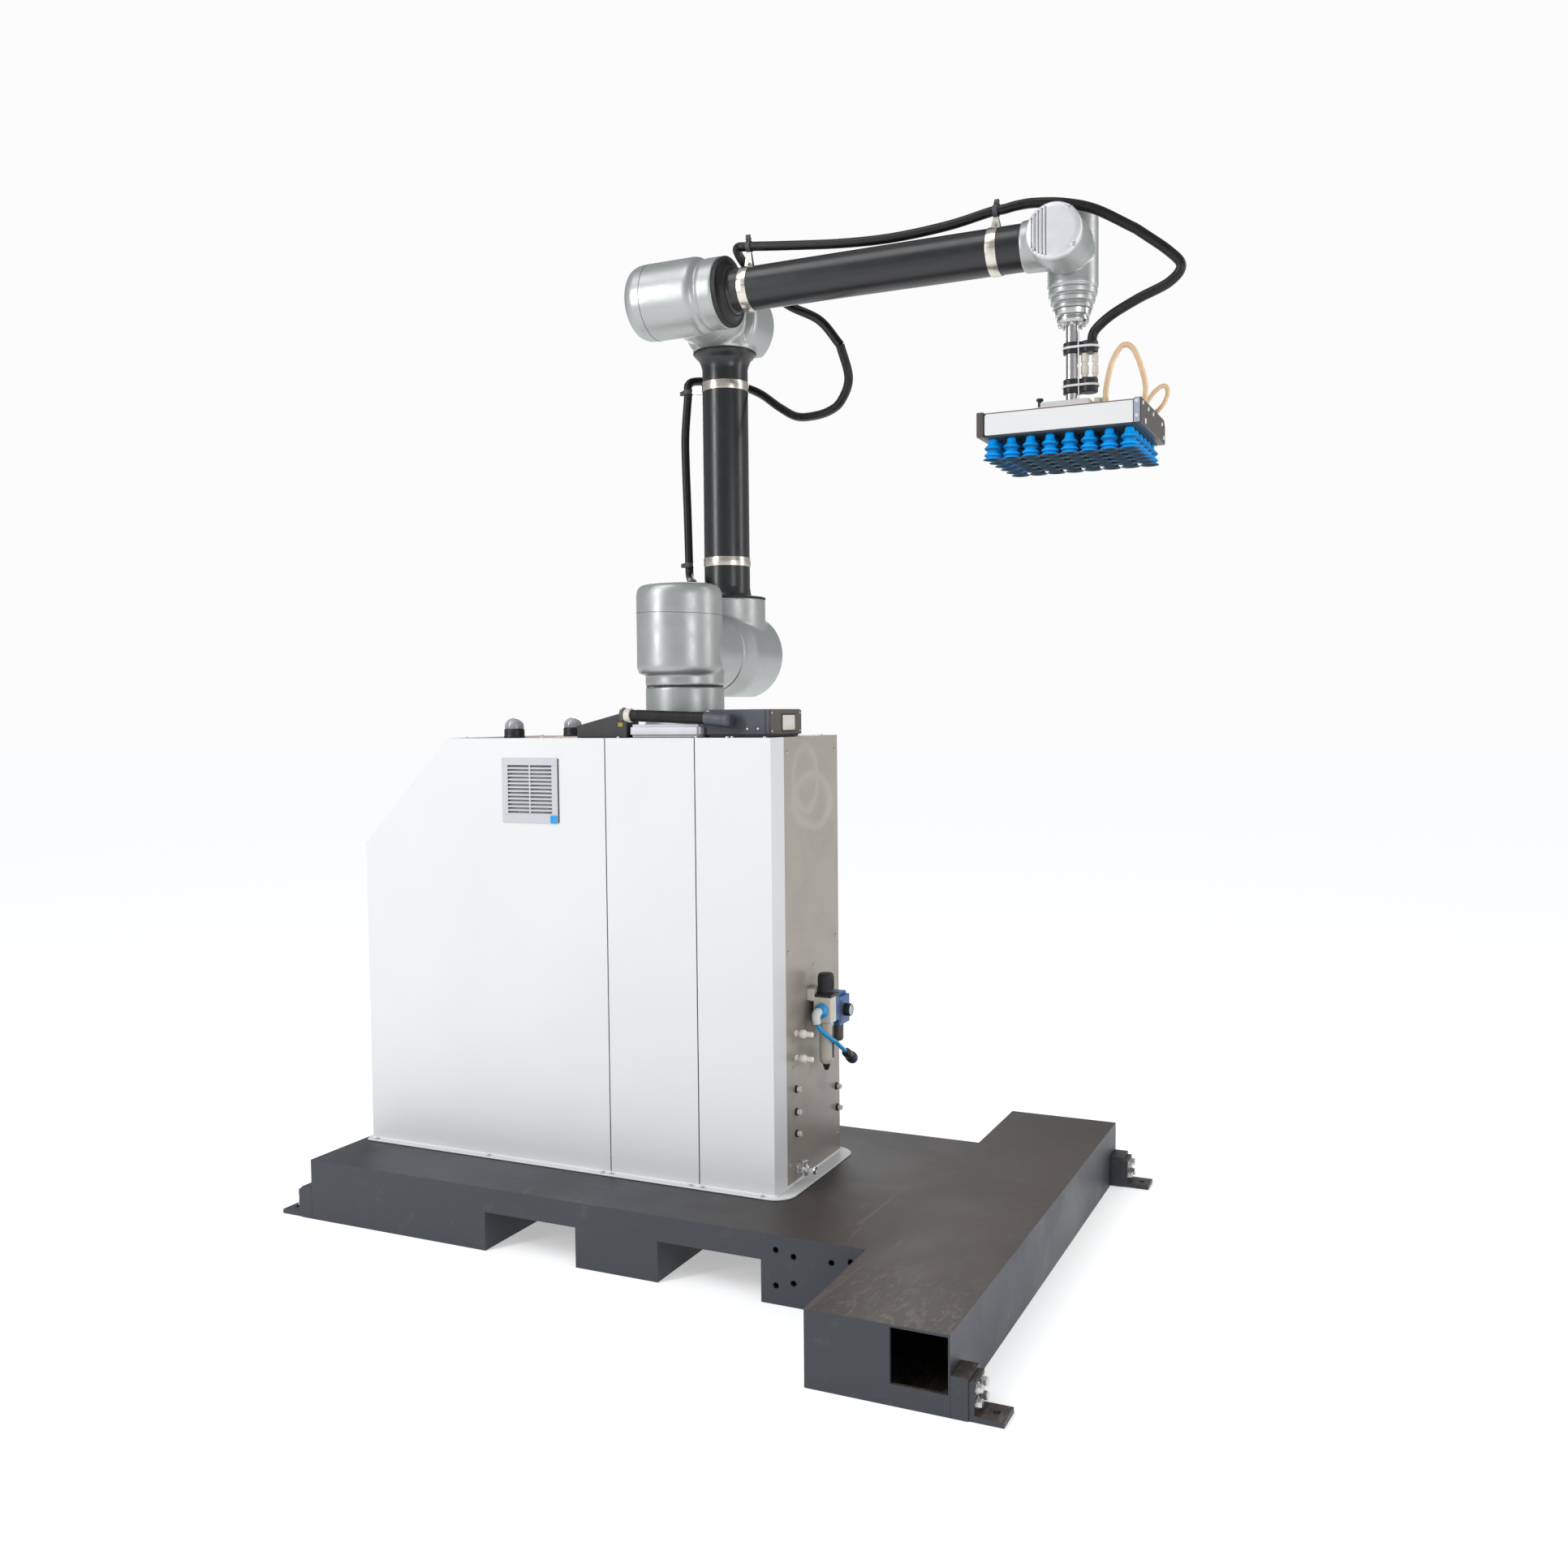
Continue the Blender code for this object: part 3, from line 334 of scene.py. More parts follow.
def brushed(name, colour, roughness, stretch, contrast=0.12):
    """Bare metal with fine parallel lines along the axis where stretch is small."""
    made = Finish(name, colour, roughness, 1.0)
    lines = made.noise(900.0, 4.0, 0.7, stretch)
    made.colour(made.mix(made.span(lines, 0.3, 0.7), shade(colour, 1 - contrast),
                         shade(colour, 1 + contrast)))
    made.rough(made.span(lines, 0.3, 0.7, roughness - 0.06, roughness + 0.10))
    return made.bump(lines, 0.00004).made


def panel_metal():
    """The steel end panel: warm, softly brushed, with two faint ovals near its top that are painted
    reflections of a light ring.
    """
    grey, warm = (0.31, 0.285, 0.25, 1.0), (0.36, 0.325, 0.27, 1.0)
    made = Finish("panel_steel", warm[:3], 0.50, 0.25)
    lines = made.noise(500.0, 3.0, 0.6, (1.0, 0.02, 1.0))
    height = made.span(made.along("Z"), 0.15, 0.9)
    wander = made.maths("MULTIPLY", made.maths("SUBTRACT", made.noise(9.0, 2.0), 0.5), 1.1)
    # Painted reflection: two faint pale rings near the top stand for a light mirrored in the glossy steel.
    painted_ring_reflection = 0.0
    for middle_y, middle_z, wide, tall in ((0.000, 0.880, 0.055, 0.062), (0.030, 0.835, 0.085, 0.050)):
        across = made.maths("DIVIDE", made.maths("SUBTRACT", made.along("Y"), middle_y), wide)
        upright = made.maths("DIVIDE", made.maths("SUBTRACT", made.along("Z"), middle_z), tall)
        reach = made.maths("ADD", made.maths("POWER", across, 2.0), made.maths("POWER", upright, 2.0))
        edge = made.maths("ABSOLUTE", made.maths("SUBTRACT", made.maths("ADD", reach, wander), 1.0))
        painted_ring_reflection = made.maths("MAXIMUM", made.span(edge, 0.60, 0.02, smooth=True), painted_ring_reflection)
    stain = made.span(made.noise(11.0, 5.0, 0.65), 0.45, 0.75)
    # Greyer low down and warmer towards the top: the steel's own grey with a painted reflection of the room.
    tone = made.mix(height, grey, warm)
    tone = made.mix(made.maths("MULTIPLY", stain, 0.25), tone, (0.27, 0.25, 0.23, 1.0))
    tone = made.mix(made.maths("MULTIPLY", painted_ring_reflection, 0.22), tone, (0.62, 0.57, 0.50, 1.0))
    made.colour(made.mix(made.span(lines, 0.3, 0.7, 0.0, 0.12), tone, (0.55, 0.53, 0.50, 1.0)))
    made.rough(made.span(made.maths("ADD", lines, stain), 0.4, 1.4, 0.30, 0.46))
    return made.bump(lines, 0.00003).made


def moulded(name, colour, roughness=0.4, grain=700.0, **sockets):
    """Moulded plastic: a fine spark texture and slightly uneven gloss."""
    made = Finish(name, colour, roughness, **sockets)
    made.colour(made.mix(made.span(made.noise(25.0, 3.0), 0.3, 0.7), shade(colour, 0.92),
                         shade(colour, 1.06)))
    made.rough(made.span(made.noise(80.0, 3.0), 0.3, 0.7, roughness - 0.05, roughness + 0.07))
    return made.bump(made.noise(grain, 2.0), 0.00006).made


def cable_sheath():
    """Black cable jacket with a dull sheen and dusty, slightly greyed patches."""
    made = Finish("cable_sheath", (0.006, 0.0058, 0.0055), 0.45, Specular_IOR_Level=0.35)
    dust = made.span(made.noise(45.0, 6.0, 0.7), 0.45, 0.75)
    made.colour(made.mix(dust, (0.0050, 0.0048, 0.0046, 1.0), (0.0125, 0.0115, 0.0095, 1.0)))
    made.rough(made.span(dust, 0.0, 1.0, 0.36, 0.55))
    return made.bump(made.noise(800.0, 2.0), 0.00002).made


def silicone_blue():
    """Blue silicone with painted shade: dark teal on the faces that look down, and darker between the rows
    of cups, where the shade between them is painted in.
    """
    made = Finish("silicone_blue", (0.0, 0.36, 0.90), 0.50, Specular_IOR_Level=0.2)
    tone = made.span(made.noise(60.0, 3.0), 0.3, 0.7)
    blue = made.mix(tone, (0.0, 0.31, 0.84, 1.0), (0.0, 0.39, 0.97, 1.0))
    # Painted shade: the cups behind the front row, away from the row ends, are darkened to stand for the
    # shade between the cups.
    off_side = made.maths("ABSOLUTE", made.maths("SUBTRACT", made.along("X"), WRIST_X))
    inside = made.maths("MULTIPLY", made.span(off_side, 0.1020, 0.0960), made.span(made.along("Y"), -0.0060,
            0.0020))
    blue = made.mix(made.maths("MULTIPLY", inside, 0.85), blue, (0.0, 0.055, 0.120, 1.0))
    # Painted shade: faces that look down turn dark teal, standing for the shade under the cups.
    painted_underside_shade = made.span(made.along("Z", made.facing), -0.35, -0.80)
    made.colour(made.mix(painted_underside_shade, blue, (0.003, 0.026, 0.046, 1.0)))
    return made.bump(made.noise(1200.0, 2.0), 0.00005).made


def amber_tube():
    """Clear amber polyurethane hose."""
    made = Finish("amber_tube", (0.80, 0.55, 0.32), 0.28, Transmission_Weight=0.35, IOR=1.40)
    made.colour(made.mix(made.span(made.noise(9.0, 2.0), 0.3, 0.7), (0.78, 0.52, 0.28, 1.0),
                         (0.92, 0.72, 0.48, 1.0)))
    return made.bump(made.noise(60.0, 2.0), 0.00003).made


def lamp_dome():
    """Milky translucent lens with a grey-lilac tint."""
    made = Finish("lamp_dome", (0.50, 0.50, 0.56), 0.22, Transmission_Weight=0.35, IOR=1.45, Coat_Weight=0.6)
    made.colour(made.mix(made.span(made.along("Z"), 0.975, 0.998), (0.36, 0.36, 0.42, 1.0),
                         (0.62, 0.62, 0.68, 1.0)))
    return made.bump(made.noise(300.0, 2.0), 0.00004).made


def pale_floor():
    made = Finish("pale_floor", (0.86, 0.86, 0.86), 0.9, Emission_Strength=0.42, Specular_IOR_Level=0.1)
    made.shader.inputs["Emission Color"].default_value = (1.0, 1.0, 1.0, 1.0)
    made.colour(made.mix(made.noise(1.5, 3.0), (0.855, 0.857, 0.86, 1.0), (0.865, 0.865, 0.866, 1.0)))
    return made.made


WHITE = powder_coat("cover_white", (0.68, 0.686, 0.690))
GRILLE_GREY = powder_coat("grille_grey", (0.50, 0.51, 0.53), 0.5)
SEAM_WHITE = powder_coat("seal_white", (0.74, 0.745, 0.76), 0.5)
BASE_PAINT = worn_paint()
PANEL = panel_metal()
SILVER = cast_silver("arm_silver", (0.385, 0.400, 0.395), 0.37)
SILVER_LIGHT = cast_silver("cover_silver", (0.64, 0.64, 0.66), 0.48)
TUBE_BLACK = satin_black("tube_black", (0.0085, 0.0090, 0.0102), 0.31)
COLLAR_BLACK = moulded("collar_black", (0.006, 0.006, 0.0065), 0.5)
STAINLESS = brushed("stainless", (0.66, 0.62, 0.55), 0.24, (0.04, 0.04, 1.0))
POLISHED = brushed("polished_steel", (0.50, 0.50, 0.50), 0.24, (1.0, 1.0, 0.03), 0.06)
BOLT_STEEL = brushed("bolt_steel", (0.56, 0.56, 0.55), 0.30, (1.0, 0.3, 1.0), 0.08)
SHEATH = cable_sheath()
DARK_GREY = moulded("dark_grey_plastic", (0.055, 0.062, 0.078), 0.45)
STRAP_GREY = moulded("strap_grey", (0.050, 0.054, 0.062), 0.50)
BLACK_PLASTIC = moulded("black_plastic", (0.012, 0.012, 0.013), 0.42)
HOLLOW = moulded("dark_inside", (0.006, 0.006, 0.006), 0.85)
BRONZE_BOX = moulded("bronze_box", (0.075, 0.062, 0.052), 0.4)
CHROME = brushed("chrome", (0.90, 0.90, 0.90), 0.12, (1.0, 1.0, 0.03), 0.04)
FITTING_WHITE = moulded("fitting_white", (0.84, 0.80, 0.73), 0.35)
CREAM = moulded("cream_plastic", (0.66, 0.62, 0.54), 0.38)
BOWL = moulded("clear_bowl", (0.62, 0.58, 0.50), 0.15, 300.0, Transmission_Weight=0.25, Coat_Weight=0.4)
TRUNK = moulded("trunk_grey", (0.66, 0.67, 0.71), 0.45)
BLUE = moulded("blue_plastic", (0.012, 0.10, 0.34), 0.35)
BRIGHT_BLUE = moulded("bright_blue", (0.0, 0.30, 0.66), 0.28, 500.0, Coat_Weight=0.3)
CUP_BLUE = silicone_blue()
AMBER = amber_tube()
DOME = lamp_dome()
YELLOW = moulded("faded_yellow", (0.30, 0.24, 0.03), 0.5)
GRIPPER_DARK = satin_black("gripper_anodised", (0.055, 0.047, 0.040), 0.42)
GRIPPER_TOP = satin_black("gripper_brown", (0.19, 0.095, 0.060), 0.40)
GRIPPER_WHITE = powder_coat("gripper_white", (0.68, 0.68, 0.68))
GRIPPER_BLUE_GREY = powder_coat("gripper_end", (0.30, 0.34, 0.42))
# Painted shade: a dark teal for the plate under the gripper, standing for the shade beneath it.
UNDERSIDE_SHADE_TEAL = moulded("painted_shade_teal", (0.016, 0.030, 0.040), 0.55)


# ---------------------------------------------------------------- mesh tools

def piece(name, tool, finish, body=None, nodes=(), smooth=38, bevel=0.0, segments=3, angle=38):
    """A finished object of a bmesh, riding on a body and standing for the CAD nodes it replaces."""
    mesh = bpy.data.meshes.new(name)
    bmesh.ops.recalc_face_normals(tool, faces=tool.faces)
    tool.to_mesh(mesh)
    tool.free()
    made = bpy.data.objects.new(name, mesh)
    scene.collection.objects.link(made)
    mesh.materials.append(finish)
    mesh.shade_smooth()
    if bevel:
        rounding = made.modifiers.new("rounding", "BEVEL")
        rounding.width = bevel
        rounding.segments = segments
        rounding.limit_method = "ANGLE"
        rounding.angle_limit = math.radians(angle)
        weights = made.modifiers.new("weights", "WEIGHTED_NORMAL")
        weights.keep_sharp = True
    else:
        mesh.set_sharp_from_angle(angle=math.radians(smooth))
    if body:
        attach(made, body)
    if nodes:
        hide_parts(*nodes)
    return made


def block(tool, low, high):
    """Add a block between two corners."""
    made = bmesh.ops.create_cube(tool, size=1.0)["verts"]
    bmesh.ops.scale(tool, vec=Vector(high) - Vector(low), verts=made)
    bmesh.ops.translate(tool, vec=(Vector(high) + Vector(low)) / 2, verts=made)
    return made


def rounded(outline, reach=0.002, steps=4):
    """The outline with every inner corner turned into a short curve that starts reach before it."""
    found = [outline[0]]
    for before, corner, after in zip(outline, outline[1:], outline[2:]):
        before, corner, after = Vector(before), Vector(corner), Vector(after)
        back, on = before - corner, after - corner
        start = corner + back * min(0.45, reach / max(back.length, 1e-6))
        end = corner + on * min(0.45, reach / max(on.length, 1e-6))
        for step in range(steps + 1):
            t = step / steps
            found.append(tuple(start * (1 - t) ** 2 + corner * 2 * t * (1 - t) + end * t * t))
    return found + [outline[-1]]


def lathe(tool, outline, axis="Z", centre=(0, 0, 0), sides=SMOOTH_SIDES, floor=None):
    """Add the solid that (radius, height) points sweep out about an axis through centre.

    A solid's outline starts and ends on the axis. Nothing goes below floor, where one is given.
    """
    placing = Matrix.Translation(Vector(centre)) @ TURNS[axis]
    solid = outline[0][0] == 0
    rings = []
    for radius, height in outline:
        if radius == 0:
            continue
        ring = []
        for step in range(sides):
            turn = 2 * math.pi * step / sides
            spot = placing @ Vector((radius * math.cos(turn), radius * math.sin(turn), height))
            if floor is not None:
                spot.z = max(spot.z, floor)
            ring.append(tool.verts.new(spot))
        rings.append(ring)
    for lower, upper in zip(rings, rings[1:] if solid else rings[1:] + rings[:1]):
        for step in range(sides):
            after = (step + 1) % sides
            tool.faces.new((lower[step], upper[step], upper[after], lower[after]))
    if solid:
        tool.faces.new(rings[0])
        tool.faces.new(rings[-1][::-1])


def disc(tool, radius, low, high, axis="Z", centre=(0, 0, 0), sides=SMOOTH_SIDES, edge=0.0, floor=None):
    """Add a solid cylinder, with rounded rims where edge is given."""
    outline = [(0, low), (radius, low), (radius, high), (0, high)]
    if edge:
        outline = rounded(outline, edge)
    lathe(tool, outline, axis, centre, sides, floor)


def turned(name, outline, finish, body, axis="Z", centre=(0, 0, 0), nodes=(), smooth=38):
    """A finished piece of one turned outline."""
    tool = bmesh.new()
    lathe(tool, outline, axis, centre)
    return piece(name, tool, finish, body, nodes, smooth)


def prism(tool, outline, low, high, axis):
    """Add a flat outline pushed along an axis. Its numbers are the other two coordinates in order."""
    def spot(a, b, depth):
        return {"X": (depth, a, b), "Y": (a, depth, b), "Z": (a, b, depth)}[axis]
    near = [tool.verts.new(spot(a, b, low)) for a, b in outline]
    far = [tool.verts.new(spot(a, b, high)) for a, b in outline]
    tool.faces.new(near)
    tool.faces.new(far[::-1])
    for step in range(len(outline)):
        after = (step + 1) % len(outline)
        tool.faces.new((near[step], far[step], far[after], near[after]))


def rounded_rectangle(low, high, radii, steps=6):
    """Corner points of a rectangle with its own radius at each corner, from the lowest corner round."""
    (a, b), (c, d) = low, high
    corners = [(a, b, 180), (c, b, 270), (c, d, 0), (a, d, 90)]
    found = []
    for (x, y, start), radius in zip(corners, radii):
        middle = (x + radius * (1 if x == a else -1), y + radius * (1 if y == b else -1))
        for step in range(steps + 1):
            turn = math.radians(start + 90 * step / steps)
            found.append((middle[0] + radius * math.cos(turn), middle[1] + radius * math.sin(turn)))
            if radius == 0:
                break
    return found


def settle(made):
    """Turn a piece's modifiers into its own mesh."""
    bpy.context.view_layer.update()
    seen = made.evaluated_get(bpy.context.evaluated_depsgraph_get())
    mesh = bpy.data.meshes.new_from_object(seen)
    made.modifiers.clear()
    made.data = mesh
    mesh.shade_smooth()


def casting(name, tool, finish, body, nodes, grain=0.0022, fillets=8):
    """Overlapping solids grown into one casting, with soft fillets where they meet."""
    made = piece(name, tool, finish)
    skin = made.modifiers.new("skin", "REMESH")
    skin.mode = "VOXEL"
    skin.voxel_size = grain
    soft = made.modifiers.new("fillets", "SMOOTH")
    soft.factor = 0.5
    soft.iterations = fillets
    settle(made)
    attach(made, body)
    if nodes:
        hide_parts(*nodes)
    return made


def softened(node, finish, width=0.0012, angle=40):
    """A CAD node's own shape with its hard edges rounded, shown in its place."""
    tool = bmesh.new()
    tool.from_mesh(frame["nodes"][node].data)
    bmesh.ops.remove_doubles(tool, verts=tool.verts, dist=1e-5)
    bmesh.ops.dissolve_limit(tool, angle_limit=math.radians(1), verts=tool.verts, edges=tool.edges)
    return piece(node + "_finished", tool, finish, frame["nodes"][node]["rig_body"], (node,),
                 bevel=width,
                 angle=angle)


def smooth_route(points, step=0.006):
    """Points about one step apart on a smooth curve through the given ones."""
    points = [Vector(point) for point in points]
    padded = [points[0] * 2 - points[1]] + points + [points[-1] * 2 - points[-2]]
    found = []
    for before, start, end, after in zip(padded, padded[1:], padded[2:], padded[3:]):
        pieces = max(1, round((end - start).length / step))
        for index in range(pieces):
            t = index / pieces
            found.append(0.5 * (2 * start + (end - before) * t
                                + (2 * before - 5 * start + 4 * end - after) * t * t
                                + (3 * start - before - 3 * end + after) * t ** 3))
    return found + [points[-1]]


def sweep(tool, route, radius, sides=20):
    """Add a round tube along a route, turning its section as little as possible."""
    heading = (route[1] - route[0]).normalized()
    side = heading.orthogonal().normalized()
    rings = []
    for index, spot in enumerate(route):
        ahead = route[min(index + 1, len(route) - 1)] - route[max(index - 1, 0)]
        heading = ahead.normalized()
        side = (side - heading * side.dot(heading)).normalized()
        other = heading.cross(side)
        size = radius(index / (len(route) - 1)) if callable(radius) else radius
        rings.append([tool.verts.new(spot + size * (side * math.cos(turn) + other * math.sin(turn)))
                      for turn in (2 * math.pi * step / sides for step in range(sides))])
    for lower, upper in zip(rings, rings[1:]):
        for step in range(sides):
            after = (step + 1) % sides
            tool.faces.new((lower[step], lower[after], upper[after], upper[step]))
    tool.faces.new(rings[0][::-1])
    tool.faces.new(rings[-1])


def screw(tool, spot, axis, radius, height, side=1, sides=24):
    """Add a button-head screw that stands out from spot along an axis, with a recess in its head."""
    outline = [(0, -0.0004), (radius, -0.0004), (radius, height * 0.45), (radius * 0.86, height * 0.85),
               (radius * 0.62, height), (radius * 0.42, height), (radius * 0.36, height * 0.45),
               (0, height * 0.45)]
    lathe(tool, [(r, side * h) for r, h in outline], axis, spot, sides)


def hex_bolt(tool, spot, axis, radius, height, side=1):
    """Add a washer and a six-sided head that stand out from spot along an axis."""
    thin = height * 0.22
    disc(tool, radius * 1.25, -0.0004 * side, thin * side, axis, spot, 32)
    head = [(0, thin), (radius, thin), (radius, height * 0.88), (radius * 0.84, height), (0, height)]
    lathe(tool, [(r, side * h) for r, h in head], axis, spot, 6)


# ---------------------------------------------------------------- base

def dress_base():
    """The weldment with bent edges, and its anchors with their bolts."""
    softened("base_weldment", BASE_PAINT, 0.0032)
    bolts = bmesh.new()
    for end, side in (("left", -1), ("right", 1)):
        for row in ("front", "rear"):
            node = f"anchor_{end}_{row}"
            softened(node, BASE_PAINT, 0.0016)
            low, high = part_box(node)
            middle = (low.y + high.y) / 2
            plate_depth, spread = 0.0435, 0.0125
            face = (low.x + plate_depth) if side < 0 else (high.x - plate_depth)
            for y in (middle - spread, middle + spread):
                for z in (0.0235, 0.0445):
                    hex_bolt(bolts, (face, y, z), "X", 0.0072, 0.0090, side)
    piece("anchor_bolts", bolts, BOLT_STEEL, "root", smooth=30)


# ---------------------------------------------------------------- cabinet

def dress_cabinet():
    """Folded covers, steel panel, brown top plate, rounded floor flange, its seal and the screws."""
    for node in ("front_cover_left", "front_cover_middle", "front_cover_right", "rear_cover", "end_cover"):
        softened(node, WHITE, 0.0007)
    softened("connection_panel", PANEL, 0.0006)
    softened("cabinet_top_plate", GRIPPER_TOP, 0.0008)
    low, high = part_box("cabinet_floor_flange")
    tool = bmesh.new()
    corners = rounded_rectangle((low.x, low.y), (high.x, high.y), (0.012, 0.040, 0.040, 0.012), 10)
    prism(tool, corners, low.z, high.z, "Z")
    piece("floor_flange_finished", tool, WHITE, "root", ("cabinet_floor_flange",),
          bevel=0.0014)
    seal = bmesh.new()
    panel_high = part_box("front_cover_right")[1]
    inset, run = 0.0022, 0.0040
    start_x, end_x = low.x + 0.004, panel_high.x + 0.0005
    outline = [(start_x, -COVER_HALF_DEPTH), (end_x, -COVER_HALF_DEPTH), (end_x, COVER_HALF_DEPTH),
               (start_x, COVER_HALF_DEPTH)]
    for (a, b), (c, d) in zip(outline, outline[1:] + outline[:1]):
        along = Vector((c - a, d - b, 0)).normalized() * run
        sweep(seal, [Vector((a, b, high.z + 0.0004)) - along, Vector((c, d, high.z + 0.0004)) + along],
              inset, 10)
    piece("floor_seal", seal, SEAM_WHITE, "root")
    screws = bmesh.new()
    for x in (-0.655, -0.372, -0.105, -0.085, 0.088, 0.112, 0.236):
        for y in (-SCREW_LINE_Y, SCREW_LINE_Y):
            screw(screws, (x, y, high.z), "Z", 0.0042, 0.0026)
    top = panel_high.z
    for x in (-0.0681, 0.0994, 0.1633, 0.1733):
        screw(screws, (x, -0.140, top), "Z", 0.0036, 0.0030)
    for y in (-0.120, 0.120):
        for x in (-0.42, -0.20, 0.02 if y > 0 else -0.24, 0.24):
            screw(screws, (x, y if y > 0 else -0.142, top), "Z", 0.0034, 0.0022)
    for z in (0.16, 0.56, 0.93):
        for y in (-0.085, 0.140):
            screw(screws, (panel_high.x, y, z), "X", 0.0034, 0.0018)
    for z in (0.20, 0.66):
        for y in (-0.13, 0.13):
            screw(screws, (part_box("end_cover")[0].x, y, z), "X", 0.0040, 0.0022, side=-1)
    piece("cabinet_screws", screws, BOLT_STEEL, "root")


def dress_grille():
    """A louvred filter grille: a stepped frame, tilted slats in two columns and a blue service tab."""
    low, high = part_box("vent_grille")
    back, front = high.y, low.y
    rim, foot, post = 0.0135, 0.0150, 0.0035
    middle = (low.x + high.x) / 2
    tool = bmesh.new()
    block(tool, (low.x, front + 0.0004, low.z), (high.x, back, low.z + foot))
    block(tool, (low.x, front + 0.0004, high.z - rim), (high.x, back, high.z))
    block(tool, (low.x, front + 0.0004, low.z + foot), (low.x + rim, back, high.z - rim))
    block(tool, (high.x - rim, front + 0.0004, low.z + foot), (high.x, back, high.z - rim))
    block(tool, (middle - post / 2, front + 0.0009, low.z + foot), (middle + post / 2, back, high.z - rim))
    piece("grille_frame", tool, GRILLE_GREY, "root", ("vent_grille",), bevel=0.0006)
    slats = bmesh.new()
    pitch = (high.z - rim - low.z - foot) / SLAT_COUNT
    for index in range(SLAT_COUNT):
        z = low.z + foot + pitch * (index + 0.5)
        outline = [(front + 0.0008, z - pitch * 0.52), (front + 0.0008, z - pitch * 0.12),
                   (back + 0.0100, z + pitch * 0.62), (back + 0.0100, z + pitch * 0.44)]
        prism(slats, outline, low.x + rim - 0.0005, high.x - rim + 0.0005, "X")
    piece("grille_slats", slats, GRILLE_GREY, "root", bevel=0.0003)
    mat = bmesh.new()
    block(mat, (low.x + rim, back + 0.0102, low.z + foot), (high.x - rim, back + 0.0118, high.z - rim))
    piece("grille_filter_mat", mat, SEAM_WHITE, "root", bevel=0.0004)
    edge = bmesh.new()
    block(edge, (high.x - 0.0002, front + 0.0008, low.z + 0.001),
          (high.x + 0.0022, back - 0.0001, high.z - 0.0005))
    piece("grille_shadow_gap", edge, STRAP_GREY, "root", bevel=0.0005)
    tab = bmesh.new()
    block(tab, (high.x - 0.0170, front - 0.0008, low.z - 0.0002),
          (high.x - 0.0015, front + 0.0015, low.z + 0.0150))
    piece("grille_tab", tab, BRIGHT_BLUE, "root", bevel=0.0007)


def dress_top():
    """Beacons, trunk, entry wedge, conduit and the junction box with its connector."""
    for row in ("front", "rear"):
        low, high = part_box(f"beacon_{row}")
        x, y = (low.x + high.x) / 2, (low.y + high.y) / 2
        foot = [(0, low.z), (0.0208, low.z), (0.0208, low.z + 0.0030), (0.0200, low.z + 0.0038),
                (0.0200, low.z + 0.0160), (0.0185, low.z + 0.0176), (0, low.z + 0.0176)]
        turned(f"beacon_{row}_foot", rounded(foot, 0.0008), BLACK_PLASTIC, "root",
               centre=(x, y, 0))
        start, radius = low.z + 0.0177, 0.0186
        rise = high.z - start - 0.0050
        dome = [(0, start), (radius, start), (radius, start + 0.0050)]
        dome += [(radius * math.cos(turn), start + 0.0050 + rise * math.sin(turn))
                 for turn in (math.pi / 2 * step / 12 for step in range(1, 12))] + [(0.0008, high.z),
                         (0, high.z)]
        turned(f"beacon_{row}_dome", dome, DOME, "root", centre=(x, y, 0), nodes=(f"beacon_{row}",),
               smooth=60)
    softened("trunk_cover", TRUNK, 0.0012, 20)
    softened("cable_entry_box", BLACK_PLASTIC, 0.0018)
    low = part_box("cable_entry_box")[0]
    mark = bmesh.new()
    block(mark, (-0.0690, low.y - 0.0006, 0.9790), (-0.0590, low.y + 0.0004, 0.9870))
    piece("entry_box_mark", mark, YELLOW, "root", bevel=0.0004)
    glands = bmesh.new()
    for x in (-0.146, -0.128, -0.110):
        disc(glands, 0.0048, 0.0, 0.0030, "Z", (x, -0.116, low.z + (x + 0.162) * 0.2232 + 0.0215), 24,
             0.0008)
    piece("entry_box_glands", glands, DARK_GREY, "root")
    dress_conduit()
    dress_junction()


def dress_conduit():
    """A corrugated black conduit with a cream ferrule at the entry box and a heat-shrunk end."""
    points = [(-0.0485, -0.131, 1.000), (-0.030, -0.1315, 0.9995), (0.02, -0.132, 0.9975),
              (0.08, -0.1335, 0.9950), (0.118, -0.1365, 0.9940), (0.145, -0.1375, 0.9910),
              (0.1595, -0.1375, 0.9900)]
    route = smooth_route(points, 0.0011)
    tool = bmesh.new()
    sweep(tool, route, lambda t: 0.0109 + 0.0006 * math.sin(2 * math.pi * 52 * t), 28)
    piece("conduit_corrugated", tool, SHEATH, "root", nodes=("conduit",), smooth=80)
    sleeve = bmesh.new()
    tail = [spot for spot in route if spot.x > 0.118]
    sweep(sleeve, tail, 0.0124, 32)
    end = tail[-1]
    outline = rounded([(0, -0.004), (0.0132, -0.004), (0.0138, 0.006), (0.0120, 0.0125), (0, 0.0125)], 0.002)
    lathe(sleeve, outline, "X", end, 48)
    piece("conduit_sleeve", sleeve, DARK_GREY, "root", smooth=50)
    ferrule = bmesh.new()
    lathe(ferrule, rounded([(0, -0.0560), (0.0128, -0.0560), (0.0136, -0.0500), (0.0136, -0.0440),
                            (0.0122, -0.0425), (0, -0.0425)], 0.0008), "X", (0, -0.1312, 1.0002), 40)
    piece("conduit_ferrule", ferrule, CREAM, "root")
    nut = bmesh.new()
    lathe(nut, [(0, -0.0640), (0.0142, -0.0640), (0.0150, -0.0625), (0.0150, -0.0575), (0.0142, -0.0562),
                (0, -0.0562)], "X", (0, -0.1312, 1.0002), 8)
    piece("conduit_nut", nut, BRONZE_BOX, "root", smooth=30)


